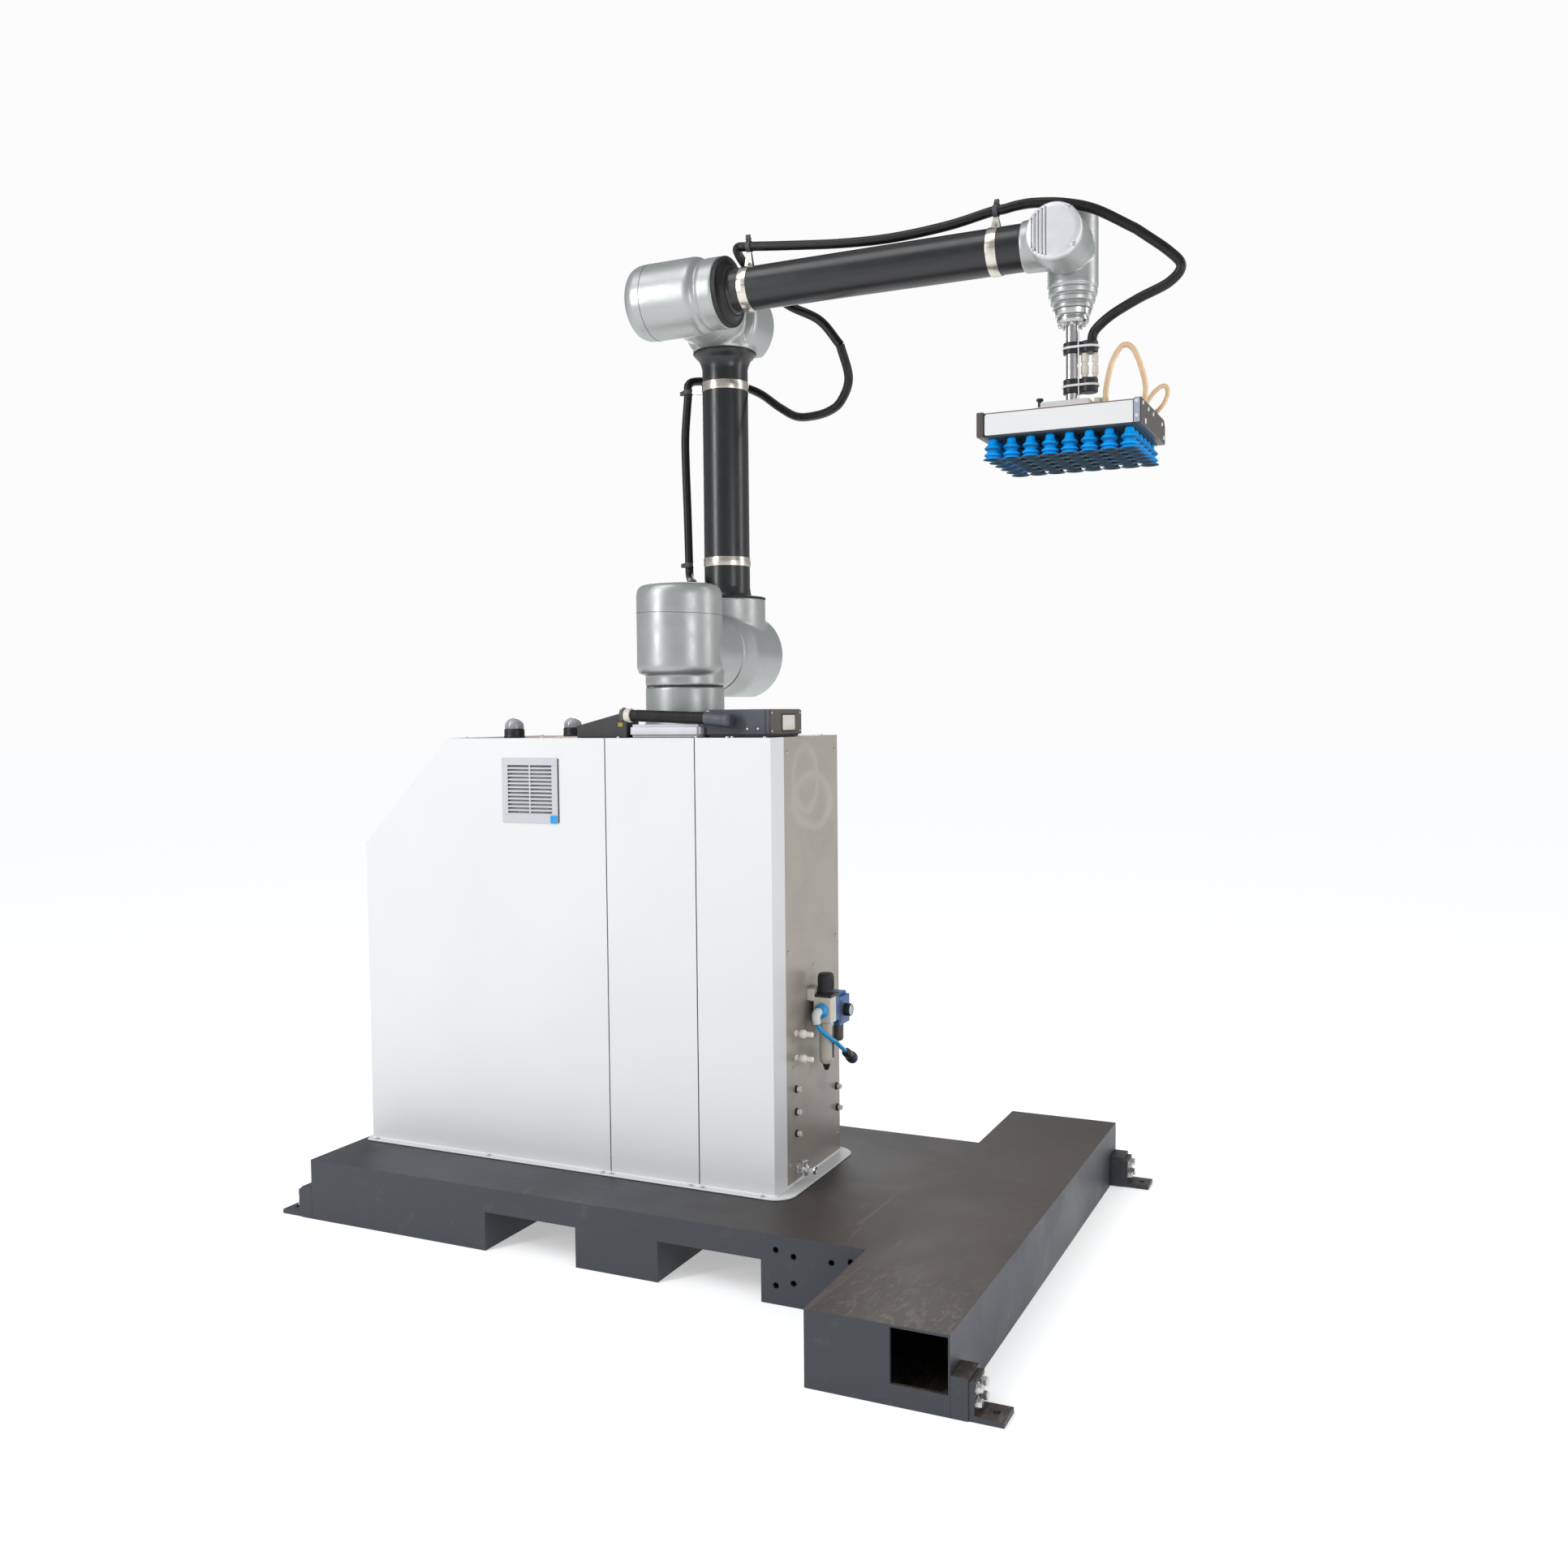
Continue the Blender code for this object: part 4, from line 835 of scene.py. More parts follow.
def dress_junction():
    """The junction box: painted body, front plate, a socket on its right end and screws."""
    low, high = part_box("junction_box")
    near = -0.120
    tool = bmesh.new()
    block(tool, (low.x, near + 0.0012, low.z + 0.004), (0.2400, high.y, high.z))
    block(tool, (low.x + 0.006, near + 0.004, low.z), (0.2370, high.y - 0.005, low.z + 0.006))
    piece("junction_body", tool, DARK_GREY, "root", ("junction_box",), bevel=0.0022)
    plate = bmesh.new()
    block(plate, (low.x + 0.0005, near - 0.0002, low.z + 0.0045), (0.2310, near + 0.0016, high.z - 0.0005))
    piece("junction_front_plate", plate, DARK_GREY, "root", bevel=0.0010)
    lid = bmesh.new()
    width = (0.2400 - low.x) / LID_RIBS
    for index in range(LID_RIBS):
        start = low.x + index * width
        block(lid, (start + 0.0012, near + 0.003, high.z - 0.0008),
              (start + width - 0.0012, high.y - 0.002, high.z + 0.0009))
    piece("junction_cooling_ribs", lid, DARK_GREY, "root", bevel=0.0006)
    end = bmesh.new()
    block(end, (0.2398, near + 0.002, low.z + 0.0048), (0.2412, high.y - 0.001, high.z - 0.0008))
    piece("junction_end_plate", end, BRONZE_BOX, "root", bevel=0.0006)
    frame_y, frame_z = (-0.0720, -0.0110), (0.9670, 1.0015)
    surround = bmesh.new()
    corners = rounded_rectangle((frame_y[0], frame_z[0]), (frame_y[1], frame_z[1]), (0.003,) * 4, 4)
    prism(surround, corners, 0.2408, 0.2420, "X")
    piece("socket_surround", surround, BLACK_PLASTIC, "root", bevel=0.0004)
    face = bmesh.new()
    corners = rounded_rectangle((-0.0687, 0.9706), (-0.0149, 0.9983), (0.0022,) * 4, 4)
    prism(face, corners, 0.2416, 0.2425, "X")
    piece("socket_face", face, CREAM, "root", bevel=0.0003)
    slots = bmesh.new()
    for index in range(5):
        y = -0.0600 + index * 0.0090
        block(slots, (0.2420, y, 0.9770), (0.24262, y + 0.0035, 0.9920))
    piece("socket_contacts", slots, TRUNK, "root", bevel=0.0002)
    screws = bmesh.new()
    for x, z in ((0.1952, 0.9733), (0.2170, 0.9733)):
        screw(screws, (x, near - 0.0002, z), "Y", 0.0026, 0.0014, side=-1)
    for y in (near + 0.007, high.y - 0.008):
        for z in (low.z + 0.0105, high.z - 0.0055):
            screw(screws, (0.2412, y, z), "X", 0.0026, 0.0012)
    piece("junction_screws", screws, BOLT_STEEL, "root")
    cap = bmesh.new()
    disc(cap, 0.0062, -0.0012, 0.0024, "Y", (low.x + 0.0075, near - 0.0022, high.z - 0.0070), 32, 0.0010)
    piece("junction_cap_screw", cap, WHITE, "root")


# ---------------------------------------------------------------- connection panel

def dress_panel():
    """Filter regulator, valve unit, hose, push fittings, sockets and the air inlet."""
    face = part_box("connection_panel")[1].x
    low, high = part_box("regulator_body")
    x, y = SPOTS["regulator_turn"].x, SPOTS["regulator_turn"].y
    body_low, body_high = 0.2688, 0.3050
    body = bmesh.new()
    block(body, (body_low, 0.0, low.z), (body_high, 0.0282, high.z - 0.007))
    block(body, (face, 0.006, 0.4520), (body_low + 0.002, 0.034, 0.4600))
    piece("regulator_housing", body, CREAM, "root", ("regulator_body",), bevel=0.0022)
    cheek = bmesh.new()
    block(cheek, (body_low - 0.0004, 0.0284, low.z + 0.0005), (body_high + 0.0006, 0.0400, high.z - 0.0075))
    piece("regulator_cheek", cheek, BLUE, "root", bevel=0.0016)
    collar = bmesh.new()
    block(collar, (body_low - 0.0006, -0.0004, high.z - 0.0074),
          (body_high + 0.0008, 0.0402, high.z - 0.0022))
    disc(collar, 0.0172, high.z - 0.0030, high.z, "Z", (x, y, 0), 48, 0.0008)
    piece("regulator_collar", collar, BLACK_PLASTIC, "root", bevel=0.0010)
    bracket = bmesh.new()
    block(bracket, (face, -0.004, 0.4560), (body_low + 0.003, 0.038, 0.4780))
    block(bracket, (face, 0.0985, 0.4350), (face + 0.0040, 0.1010, 0.4680))
    piece("regulator_bracket", bracket, CREAM, "root", bevel=0.0008)
    knob_low, knob_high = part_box("regulator_knob")
    outline = [(0, knob_low.z), (0.0156, knob_low.z), (0.0157, knob_low.z + 0.0040),
               (0.0148, knob_low.z + 0.0048),
               (0.0152, knob_high.z - 0.0060), (0.0140, knob_high.z - 0.0018), (0.0118, knob_high.z),
               (0, knob_high.z)]
    turned("knob_cap", rounded(outline, 0.0012), BLACK_PLASTIC, "knob", centre=(x, y, 0),
           nodes=("regulator_knob",))
    ridges = bmesh.new()
    for step in range(KNOB_RIDGES):
        turn = 2 * math.pi * step / KNOB_RIDGES
        spot = Vector((x + 0.0151 * math.cos(turn), y + 0.0151 * math.sin(turn), 0))
        sweep(ridges, [spot + Vector((0, 0, knob_low.z + 0.0060)),
                       spot + Vector((0, 0, knob_high.z - 0.0070))],
              0.0006, 8)
    piece("knob_ridges", ridges, BLACK_PLASTIC, "knob", smooth=60)
    bowl = [(0, 0.3320), (0.0085, 0.3320), (0.0120, 0.3350), (0.0136, 0.3420), (0.0143, 0.4100),
            (0.0146, 0.4132),
            (0, 0.4132)]
    turned("bowl_clear", rounded(bowl, 0.0015), BOWL, "root", centre=(x, y, 0),
           nodes=("filter_bowl",))
    drain = [(0, 0.3200), (0.0038, 0.3200), (0.0044, 0.3215), (0.0078, 0.3318), (0, 0.3318)]
    turned("bowl_drain", drain, BLACK_PLASTIC, "root", centre=(x, y, 0))
    gauge_strip = bmesh.new()
    block(gauge_strip, (x + 0.0118, y - 0.0026, 0.3440), (x + 0.0150, y + 0.0026, 0.4060))
    piece("bowl_sight_strip", gauge_strip, BLACK_PLASTIC, "root", bevel=0.0008)
    dress_valve(face)
    dress_inlet(x)
    dress_sockets(face)


def dress_valve(face):
    """The blue valve unit with its gauge and silencer."""
    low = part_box("valve_unit")[0]
    unit = bmesh.new()
    block(unit, (0.2688, 0.0405, low.z + 0.036), (0.3060, 0.0925, 0.4560))
    block(unit, (0.2688, 0.0505, 0.4555), (0.3000, 0.0900, 0.4620))
    block(unit, (face, 0.0450, 0.4200), (0.2700, 0.0880, 0.4400))
    piece("valve_housing", unit, BLUE, "root", ("valve_unit",), bevel=0.0020)
    cheek = bmesh.new()
    block(cheek, (0.3056, 0.0440, 0.4060), (0.3066, 0.0560, 0.4500))
    piece("valve_plate", cheek, DARK_GREY, "root", bevel=0.0004)
    gauge = bmesh.new()
    lathe(gauge, rounded([(0, 0.3055), (0.0122, 0.3055), (0.0125, 0.3160), (0.0108, 0.3190),
                          (0.0100, 0.3172),
                          (0, 0.3172)], 0.0008), "X", (0, 0.0700, 0.4280), 48)
    piece("gauge_case", gauge, BLACK_PLASTIC, "root")
    dial = bmesh.new()
    disc(dial, 0.0099, 0.3168, 0.3176, "X", (0, 0.0700, 0.4280), 48)
    piece("gauge_dial", dial, WHITE, "root")
    needle = bmesh.new()
    sweep(needle, [Vector((0.3178, 0.0665, 0.4225)), Vector((0.3178, 0.0755, 0.4350))],
          lambda t: 0.0006 - 0.0003 * t, 8)
    piece("gauge_needle", needle, BLACK_PLASTIC, "root")
    silencer = bmesh.new()
    outline = [(0, 0.3650), (0.0090, 0.3650), (0.0114, 0.3690), (0.0116, 0.3960), (0.0096, 0.4000),
               (0.0092, 0.4020),
               (0, 0.4020)]
    lathe(silencer, rounded(outline, 0.0012), "Z", (0.2870, 0.076, 0), 40)
    piece("silencer", silencer, BRONZE_BOX, "root")


def dress_inlet(x):
    """Blue inlet cap, white elbow, blue air hose and its black quick coupling."""
    cap = bmesh.new()
    lathe(cap, rounded([(0, -0.0008), (0.0138, -0.0008), (0.0140, -0.0060), (0.0120, -0.0120),
                        (0.0075, -0.0146),
                        (0, -0.0150)], 0.0015), "Y", (x, 0, 0.4375), 48)
    piece("inlet_cap", cap, BRIGHT_BLUE, "root")
    elbow = bmesh.new()
    bend = smooth_route([(x, -0.0140, 0.4380), (x, -0.0215, 0.4376), (x, -0.0272, 0.4340),
                         (x + 0.0004, -0.0290, 0.4270),
                         (x + 0.0018, -0.0285, 0.4180)], 0.0015)
    sweep(elbow, bend, lambda t: 0.0074 + 0.0012 * math.sin(math.pi * min(1.0, 1.4 * t)), 28)
    piece("inlet_elbow", elbow, GRIPPER_WHITE, "root", smooth=60)
    points = [(0.2888, -0.0285, 0.4170), (0.2930, -0.0220, 0.4060), (0.3020, -0.0060, 0.3900),
              (0.3080, 0.0150, 0.3765), (0.3090, 0.0360, 0.3635), (0.3085, 0.0560, 0.3520),
              (0.3075, 0.0750, 0.3410), (0.3060, 0.1060, 0.3240)]
    route = smooth_route(points, 0.0025)
    hose = bmesh.new()
    sweep(hose, route, 0.0043, 24)
    piece("air_hose", hose, BRIGHT_BLUE, "root", nodes=("inlet_hose",), smooth=80)
    heading = (route[-1] - route[-6]).normalized()
    start = route[-1] - heading * 0.052
    coupling = bmesh.new()
    steps = [(0.0, 0.0058), (0.10, 0.0066), (0.14, 0.0088), (0.48, 0.0095), (0.52, 0.0078), (0.58, 0.0078),
             (0.62, 0.0108), (0.90, 0.0112), (0.96, 0.0100), (1.0, 0.0080)]

    def width(t):
        for (before, small), (after, large) in zip(steps, steps[1:]):
            if t <= after:
                return small + (large - small) * (t - before) / (after - before)
        return steps[-1][1]
    sweep(coupling, [start + heading * 0.056 * step / 48 for step in range(49)], width, 32)
    piece("quick_coupling", coupling, BLACK_PLASTIC, "root", smooth=50)
    band = bmesh.new()
    middle = start + heading * 0.0445
    sweep(band, [middle - heading * 0.0022, middle + heading * 0.0022], 0.0114, 32)
    piece("coupling_band", band, BLUE, "root")


def dress_sockets(face):
    """Pale push fittings, small sockets with dark nuts, blank plates and the chrome air inlet."""
    fittings, nuts, tips, holes = bmesh.new(), bmesh.new(), bmesh.new(), bmesh.new()
    for z in (0.4045, 0.3580):
        outline = [(0, 0), (0.0062, 0), (0.0062, 0.0050), (0.0040, 0.0058), (0.0040, 0.0105),
                   (0.0070, 0.0115),
                   (0.0082, 0.0160), (0.0080, 0.0205), (0.0060, 0.0238), (0.0050, 0.0245), (0.0052, 0.0360),
                   (0.0040, 0.0372), (0, 0.0372)]
        lathe(fittings, rounded(outline, 0.0010), "X", (face, -0.0610, z), 36)
    piece("push_fittings", fittings, FITTING_WHITE, "root")
    for y, z in PANEL_SOCKETS:
        lathe(nuts, [(0, 0), (0.0075, 0), (0.0075, 0.0028), (0.0066, 0.0036), (0, 0.0036)], "X",
              (face, y, z), 6)
        lathe(tips, rounded([(0, 0.0030), (0.0050, 0.0030), (0.0050, 0.0105), (0.0038, 0.0110),
                             (0.0036, 0.0070),
                             (0, 0.0070)], 0.0006), "X", (face, y, z), 32)
        disc(holes, 0.0035, 0.0066, 0.0076, "X", (face, y, z), 24)
    piece("socket_nuts", nuts, BLACK_PLASTIC, "root", smooth=30)
    piece("panel_sockets", tips, FITTING_WHITE, "root", smooth=30)
    piece("socket_inserts", holes, BLACK_PLASTIC, "root")
    plate = bmesh.new()
    block(plate, (face, 0.0270, 0.5150), (face + 0.0006, 0.0430, 0.5230))
    for z in (0.385, 0.338, 0.281, 0.238, 0.196):
        block(plate, (face, -0.0690, z), (face + 0.0005, -0.0560, z + 0.0060))
    piece("blank_labels", plate, PANEL, "root", bevel=0.0002)
    inlet = bmesh.new()
    lathe(inlet, [(0, 0), (0.0105, 0), (0.0105, 0.0055), (0.0095, 0.0065), (0, 0.0065)], "X",
          (face, -0.059, 0.149), 6)
    outline = [(0, 0.0060), (0.0078, 0.0060), (0.0078, 0.0130), (0.0095, 0.0138), (0.0095, 0.0190),
               (0.0066, 0.0200),
               (0.0066, 0.0270), (0.0082, 0.0280), (0.0084, 0.0380), (0.0070, 0.0400), (0.0052, 0.0400),
               (0.0050, 0.0300), (0, 0.0300)]
    lathe(inlet, rounded(outline, 0.0007), "X", (face, -0.059, 0.149), 40)
    lathe(inlet, rounded([(0, -0.0150), (0.0070, -0.0150), (0.0072, 0.0140), (0, 0.0140)], 0.0012), "Z",
          (face + 0.0165, -0.059, 0.152), 32)
    piece("air_inlet", inlet, CHROME, "root", smooth=30)


# ---------------------------------------------------------------- arm

def dress_shoulder():
    """The arm's foot, the first joint's tall housing and its cable gland."""
    foot = bmesh.new()
    low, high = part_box("robot_base")
    plate_top = 0.9750
    prism(foot, rounded_rectangle((low.x, low.y), (high.x, high.y), (0.012,) * 4), low.z, plate_top, "Z")
    lathe(foot, [(0, low.z + 0.002), (0.0820, low.z + 0.002), (0.0820, plate_top + 0.004),
                 (0.0767, plate_top + 0.012),
                 (0.0767, high.z), (0, high.z)])
    casting("robot_foot", foot, SILVER, "root", ("robot_base",), 0.0026, 6)
    bolts = bmesh.new()
    for x in (-0.075, 0.075):
        for y in (-0.077, 0.077):
            lathe(bolts, rounded([(0, -0.001), (0.0065, -0.001), (0.0065, 0.0070), (0.0036, 0.0070),
                                  (0.0034, 0.0030),
                                  (0, 0.0030)], 0.0006), "Z", (x, y, plate_top), 24)
    piece("foot_bolts", bolts, BOLT_STEEL, "root")
    body = bmesh.new()
    middle = (-0.004, -0.012, 0)
    outline = [(0, 1.0790), (0.0700, 1.0790), (0.0790, 1.0800), (0.0834, 1.0900), (0.0834, 1.2350),
               (0.0800, 1.2465),
               (0.0700, 1.2530), (0.0300, 1.2545), (0, 1.2545)]
    lathe(body, rounded(outline, 0.006, 5), "Z", middle)
    disc(body, 0.0767, 1.0560, 1.0850, edge=0.0016)
    disc(body, 0.0800, 0.0, 0.0995, "Y", (0, 0, SHOULDER_Z), edge=0.0020)
    casting("shoulder_casting", body, SILVER, "shoulder", ("shoulder_housing",), 0.0023, 4)
    seams = bmesh.new()
    seam_ring(seams, 0.0767, 1.0552, "Z", (0, 0, 0), 0.0004)
    piece("foot_seam", seams, STRAP_GREY, "root")
    tilted = bmesh.new()
    seam_ring(tilted, 0.0835, 0, "Z", (0, 0, 0), 0.0004)
    lean = Matrix.Translation((middle[0], middle[1], 1.1960)) @ Matrix.Rotation(math.radians(2.0), 4, "Y")
    bmesh.ops.transform(tilted, matrix=lean, verts=tilted.verts)
    piece("lid_seam", tilted, STRAP_GREY, "shoulder")
    gland = bmesh.new()
    x, y, top = -0.026, 0.086, 1.2363
    lathe(gland, [(0, top - 0.020), (0.0112, top - 0.020), (0.0112, top - 0.008), (0.0100, top - 0.006),
                  (0, top - 0.006)],
          "Z", (x, y, 0), 6)
    lathe(gland, rounded([(0, top - 0.007), (0.0104, top - 0.007), (0.0098, top + 0.002),
                          (0.0088, top + 0.0045),
                          (0, top + 0.0045)], 0.001), "Z", (x, y, 0), 32)
    piece("cable_gland", gland, BLACK_PLASTIC, "shoulder", smooth=30)


def seam_ring(tool, radius, height, axis, centre, half=0.0005):
    """Add the thin dark line of a joint between two housings, level with their surface."""
    outline = [(radius - 0.002, height - half), (radius + 0.00012, height - half),
               (radius + 0.00012, height + half),
               (radius - 0.002, height + half)]
    lathe(tool, outline, axis, centre)


def dress_upper_arm():
    """The lower tee, the black tube with its collars and the elbow tee."""
    axis = (0, 0, SHOULDER_Z)
    low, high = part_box("upper_arm_tee")
    tee = bmesh.new()
    drum = [(0, low.y), (0.0800, low.y), (0.0815, low.y + 0.014), (0.0850, low.y + 0.030),
            (0.0890, low.y + 0.046),
            (0.0905, low.y + 0.060), (0.0905, high.y - 0.003), (0.0880, high.y), (0, high.y)]
    lathe(tee, rounded(drum, 0.003), "Y", axis, floor=low.z)
    disc(tee, 0.0780, SHOULDER_Z, high.z, "Z", (0, ARM_Y, 0), edge=0.0012)
    casting("lower_tee_casting", tee, SILVER, "upper_arm", ("upper_arm_tee",), 0.0024, 4)
    cover_plate("lower_tee_cover", "joint_2_cover", 0.0840, SHOULDER_Z, 6)
    low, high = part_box("upper_arm_tube")
    outline = [(0.0415, low.z), (0.0785, low.z), (0.0785, low.z + 0.0036), (0.0535, low.z + 0.0040),
               (0.0490, low.z + 0.0110), (0.0470, low.z + 0.0240), (0.0470, high.z - 0.0340),
               (0.0488, high.z - 0.0255),
               (0.0525, high.z - 0.0165), (0.0600, high.z - 0.0090), (0.0635, high.z - 0.0045),
               (0.0635, high.z),
               (0.0415, high.z)]
    turned("upper_tube", rounded(outline, 0.0030, 5), TUBE_BLACK, "upper_arm", "Z",
           (0, ARM_Y, 0),
           ("upper_arm_tube",), smooth=30)
    rings = bmesh.new()
    lathe(rings, [(0.060, low.z - 0.0002), (0.0790, low.z - 0.0002), (0.0793, low.z + 0.0012),
                  (0.0790, low.z + 0.0026),
                  (0.060, low.z + 0.0026)], "Z", (0, ARM_Y, 0))
    lathe(rings, [(0.050, high.z - 0.0030), (0.0645, high.z - 0.0030), (0.0652, high.z - 0.0012),
                  (0.0648, high.z + 0.0003),
                  (0.050, high.z + 0.0003)], "Z", (0, ARM_Y, 0))
    piece("tube_gaskets", rings, COLLAR_BLACK, "upper_arm")
    low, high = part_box("elbow_tee")
    elbow = bmesh.new()
    axis = (0, 0, ELBOW_Z)
    disc(elbow, 0.0640, low.y, low.y + 0.09, "Y", axis, floor=low.z)
    far = [(0, 0.1560), (0.0700, 0.1560), (0.0810, 0.1620), (0.0840, 0.1720), (0.0840, high.y - 0.003),
           (0.0810, high.y),
           (0, high.y)]
    lathe(elbow, rounded(far, 0.003), "Y", axis, floor=low.z)
    disc(elbow, 0.0655, low.z, 1.8450, "Z", (0, ARM_Y, 0), edge=0.0012)
    casting("elbow_casting", elbow, SILVER, "upper_arm", ("elbow_tee",), 0.0023, 10)
    cover_plate("elbow_cover", "joint_3_cover", 0.0590, ELBOW_Z, 6)


def cover_plate(name, node, radius, height, screws):
    """The round plate on a tee's far end, with a raised rim and its screws."""
    low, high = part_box(node)
    outline = [(0, low.y), (radius, low.y), (radius, high.y - 0.0030), (radius - 0.0035, high.y),
               (radius * 0.86, high.y), (radius * 0.84, high.y - 0.0012), (radius * 0.80, high.y - 0.0012),
               (radius * 0.78, high.y - 0.0004), (0, high.y - 0.0004)]
    turned(name, rounded(outline, 0.0010), SILVER_LIGHT, "upper_arm", "Y", (0, 0, height),
           (node,))
    heads = bmesh.new()
    for step in range(screws):
        turn = 2 * math.pi * (step + 0.5) / screws
        spot = (radius * 0.90 * math.cos(turn), high.y - 0.0002, height + radius * 0.90 * math.sin(turn))
        screw(heads, spot, "Y", 0.0034, 0.0012)
    piece(name + "_screws", heads, BOLT_STEEL, "upper_arm")


def dress_elbow():
    """The roll housing: a round-ended barrel with its seam, a waist, and a bright ring at its mouth."""
    centre = (0, 0, ELBOW_Z)
    low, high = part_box("roll_housing")
    barrel = [(0, low.x), (0.0200, low.x), (0.0430, low.x + 0.0015), (0.0590, low.x + 0.0070),
              (0.0680, low.x + 0.0150),
              (0.0720, low.x + 0.0270), (0.0725, -0.0400), (0.0725, 0.0450), (0.0708, 0.0530),
              (0.0650, 0.0585),
              (0.0628, 0.0620), (0.0638, 0.0650), (0.0660, 0.0700), (0.0660, high.x - 0.0015),
              (0.0645, high.x),
              (0, high.x)]
    body = bmesh.new()
    lathe(body, rounded(barrel, 0.004, 5), "X", centre)
    disc(body, 0.0660, 0, 0.0892, "Y", centre)
    casting("roll_barrel", body, SILVER, "elbow", ("roll_housing",), 0.0021, 5)
    seams = bmesh.new()
    seam_ring(seams, 0.0725, -0.0520, "X", centre, 0.0004)
    piece("barrel_seam", seams, STRAP_GREY, "elbow")
    gap = bmesh.new()
    lathe(gap, [(0.040, 0.0885), (0.0632, 0.0885), (0.0632, 0.0896), (0.040, 0.0896)], "Y", centre)
    piece("elbow_joint_gap", gap, HOLLOW, "elbow")


def dress_forearm():
    """The forearm: black collar, tube, the fork at its end and the ribbed cover of joint 5."""
    centre = (0, 0, ELBOW_Z)
    low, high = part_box("forearm_tube")
    collar = [(0.0345, low.x), (0.0655, low.x), (0.0655, low.x + 0.0075), (0.0640, low.x + 0.0090),
              (0.0600, low.x + 0.0080), (0.0530, low.x + 0.0105), (0.0470, low.x + 0.0160),
              (0.0465, low.x + 0.0190),
              (0.0345, low.x + 0.0190)]
    turned("forearm_collar", rounded(collar, 0.0018, 4), COLLAR_BLACK, "forearm", "X", centre,
           smooth=60)
    tube = [(0.0345, low.x + 0.0160), (0.0432, low.x + 0.0160), (0.0436, low.x + 0.0180),
            (0.0400, low.x + 0.0225),
            (0.0400, high.x), (0.0345, high.x)]
    turned("forearm_shaft", rounded(tube, 0.0016, 4), TUBE_BLACK, "forearm", "X", centre,
           ("forearm_tube",), smooth=30)
    fork_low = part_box("wrist_fork")[0]
    inner_face = 0.0245
    fork = bmesh.new()
    lathe(fork, rounded([(0, fork_low.x), (0.0425, fork_low.x), (0.0435, fork_low.x + 0.0040),
                         (0.0445, 0.7200),
                         (0.0400, 0.7480), (0, 0.7480)], 0.0015), "X", centre)
    disc(fork, 0.0480, -0.0578, inner_face, "Y", (WRIST_X, 0, ELBOW_Z), edge=0.0015)
    for vertex in fork.verts:
        vertex.co.y = min(vertex.co.y, inner_face)
    casting("fork_casting", fork, SILVER, "forearm", ("wrist_fork",), 0.0017, 7)
    seams = bmesh.new()
    seam_ring(seams, 0.0434, fork_low.x + 0.0095, "X", centre, 0.0004)
    for vertex in seams.verts:
        vertex.co.y = min(vertex.co.y, inner_face - 0.0003)
    piece("fork_seam", seams, STRAP_GREY, "forearm")
    dress_wrist_cover()


def dress_wrist_cover():
    """The pale round cover of joint 5: a domed disc with four ribs and notched screws round its rim."""
    low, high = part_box("joint_5_cover")
    spot = (WRIST_X, 0, ELBOW_Z)
    outline = [(0, -high.y), (0.0478, -high.y), (0.0480, -high.y + 0.0050), (0.0462, -high.y + 0.0085),
               (0.0430, -low.y - 0.0012), (0.0380, -low.y), (0, -low.y)]
    tool = bmesh.new()
    lathe(tool, rounded([(r, -h) for r, h in outline], 0.0022, 5), "Y", spot)
    piece("wrist_cover_cap", tool, SILVER_LIGHT, "forearm", nodes=("joint_5_cover",))
    ribs = bmesh.new()
    grooves = bmesh.new()
    for step in range(5):
        x = WRIST_X - 0.0330 + step * 0.0062
        half = math.sqrt(0.0425 ** 2 - (x - WRIST_X) ** 2)
        if step < 4:
            sweep(ribs,
                  smooth_route([(x, low.y + 0.0062, ELBOW_Z - half - 0.0035),
                                (x, low.y + 0.0012, ELBOW_Z - half),
                                      (x, low.y + 0.0002, ELBOW_Z), (x, low.y + 0.0012, ELBOW_Z + half),
                                      (x, low.y + 0.0062, ELBOW_Z + half + 0.0030)], 0.003), 0.0016, 12)
        sweep(grooves, [Vector((x - 0.0031, low.y + 0.0006, ELBOW_Z - half + 0.002)),
                        Vector((x - 0.0031, low.y + 0.0006, ELBOW_Z + half - 0.002))], 0.0009, 8)
    piece("wrist_cover_ribs", ribs, SILVER_LIGHT, "forearm", smooth=70)
    piece("wrist_cover_grooves", grooves, STRAP_GREY, "forearm", smooth=70)
    ears = bmesh.new()
    for degrees in (52, -38, 218):
        turn = math.radians(degrees)
        spot = Vector((WRIST_X + 0.0432 * math.cos(turn), low.y + 0.0046, ELBOW_Z + 0.0432 * math.sin(turn)))
        screw(ears, spot, "Y", 0.0046, 0.0042, side=-1)
        sweep(ears, [spot + Vector((0, 0.006, 0)),
                     spot + Vector((0.0052 * math.cos(turn), 0.006, 0.0052 * math.sin(turn)))], 0.0030, 12)
    piece("wrist_cover_screws", ears, BOLT_STEEL, "forearm")


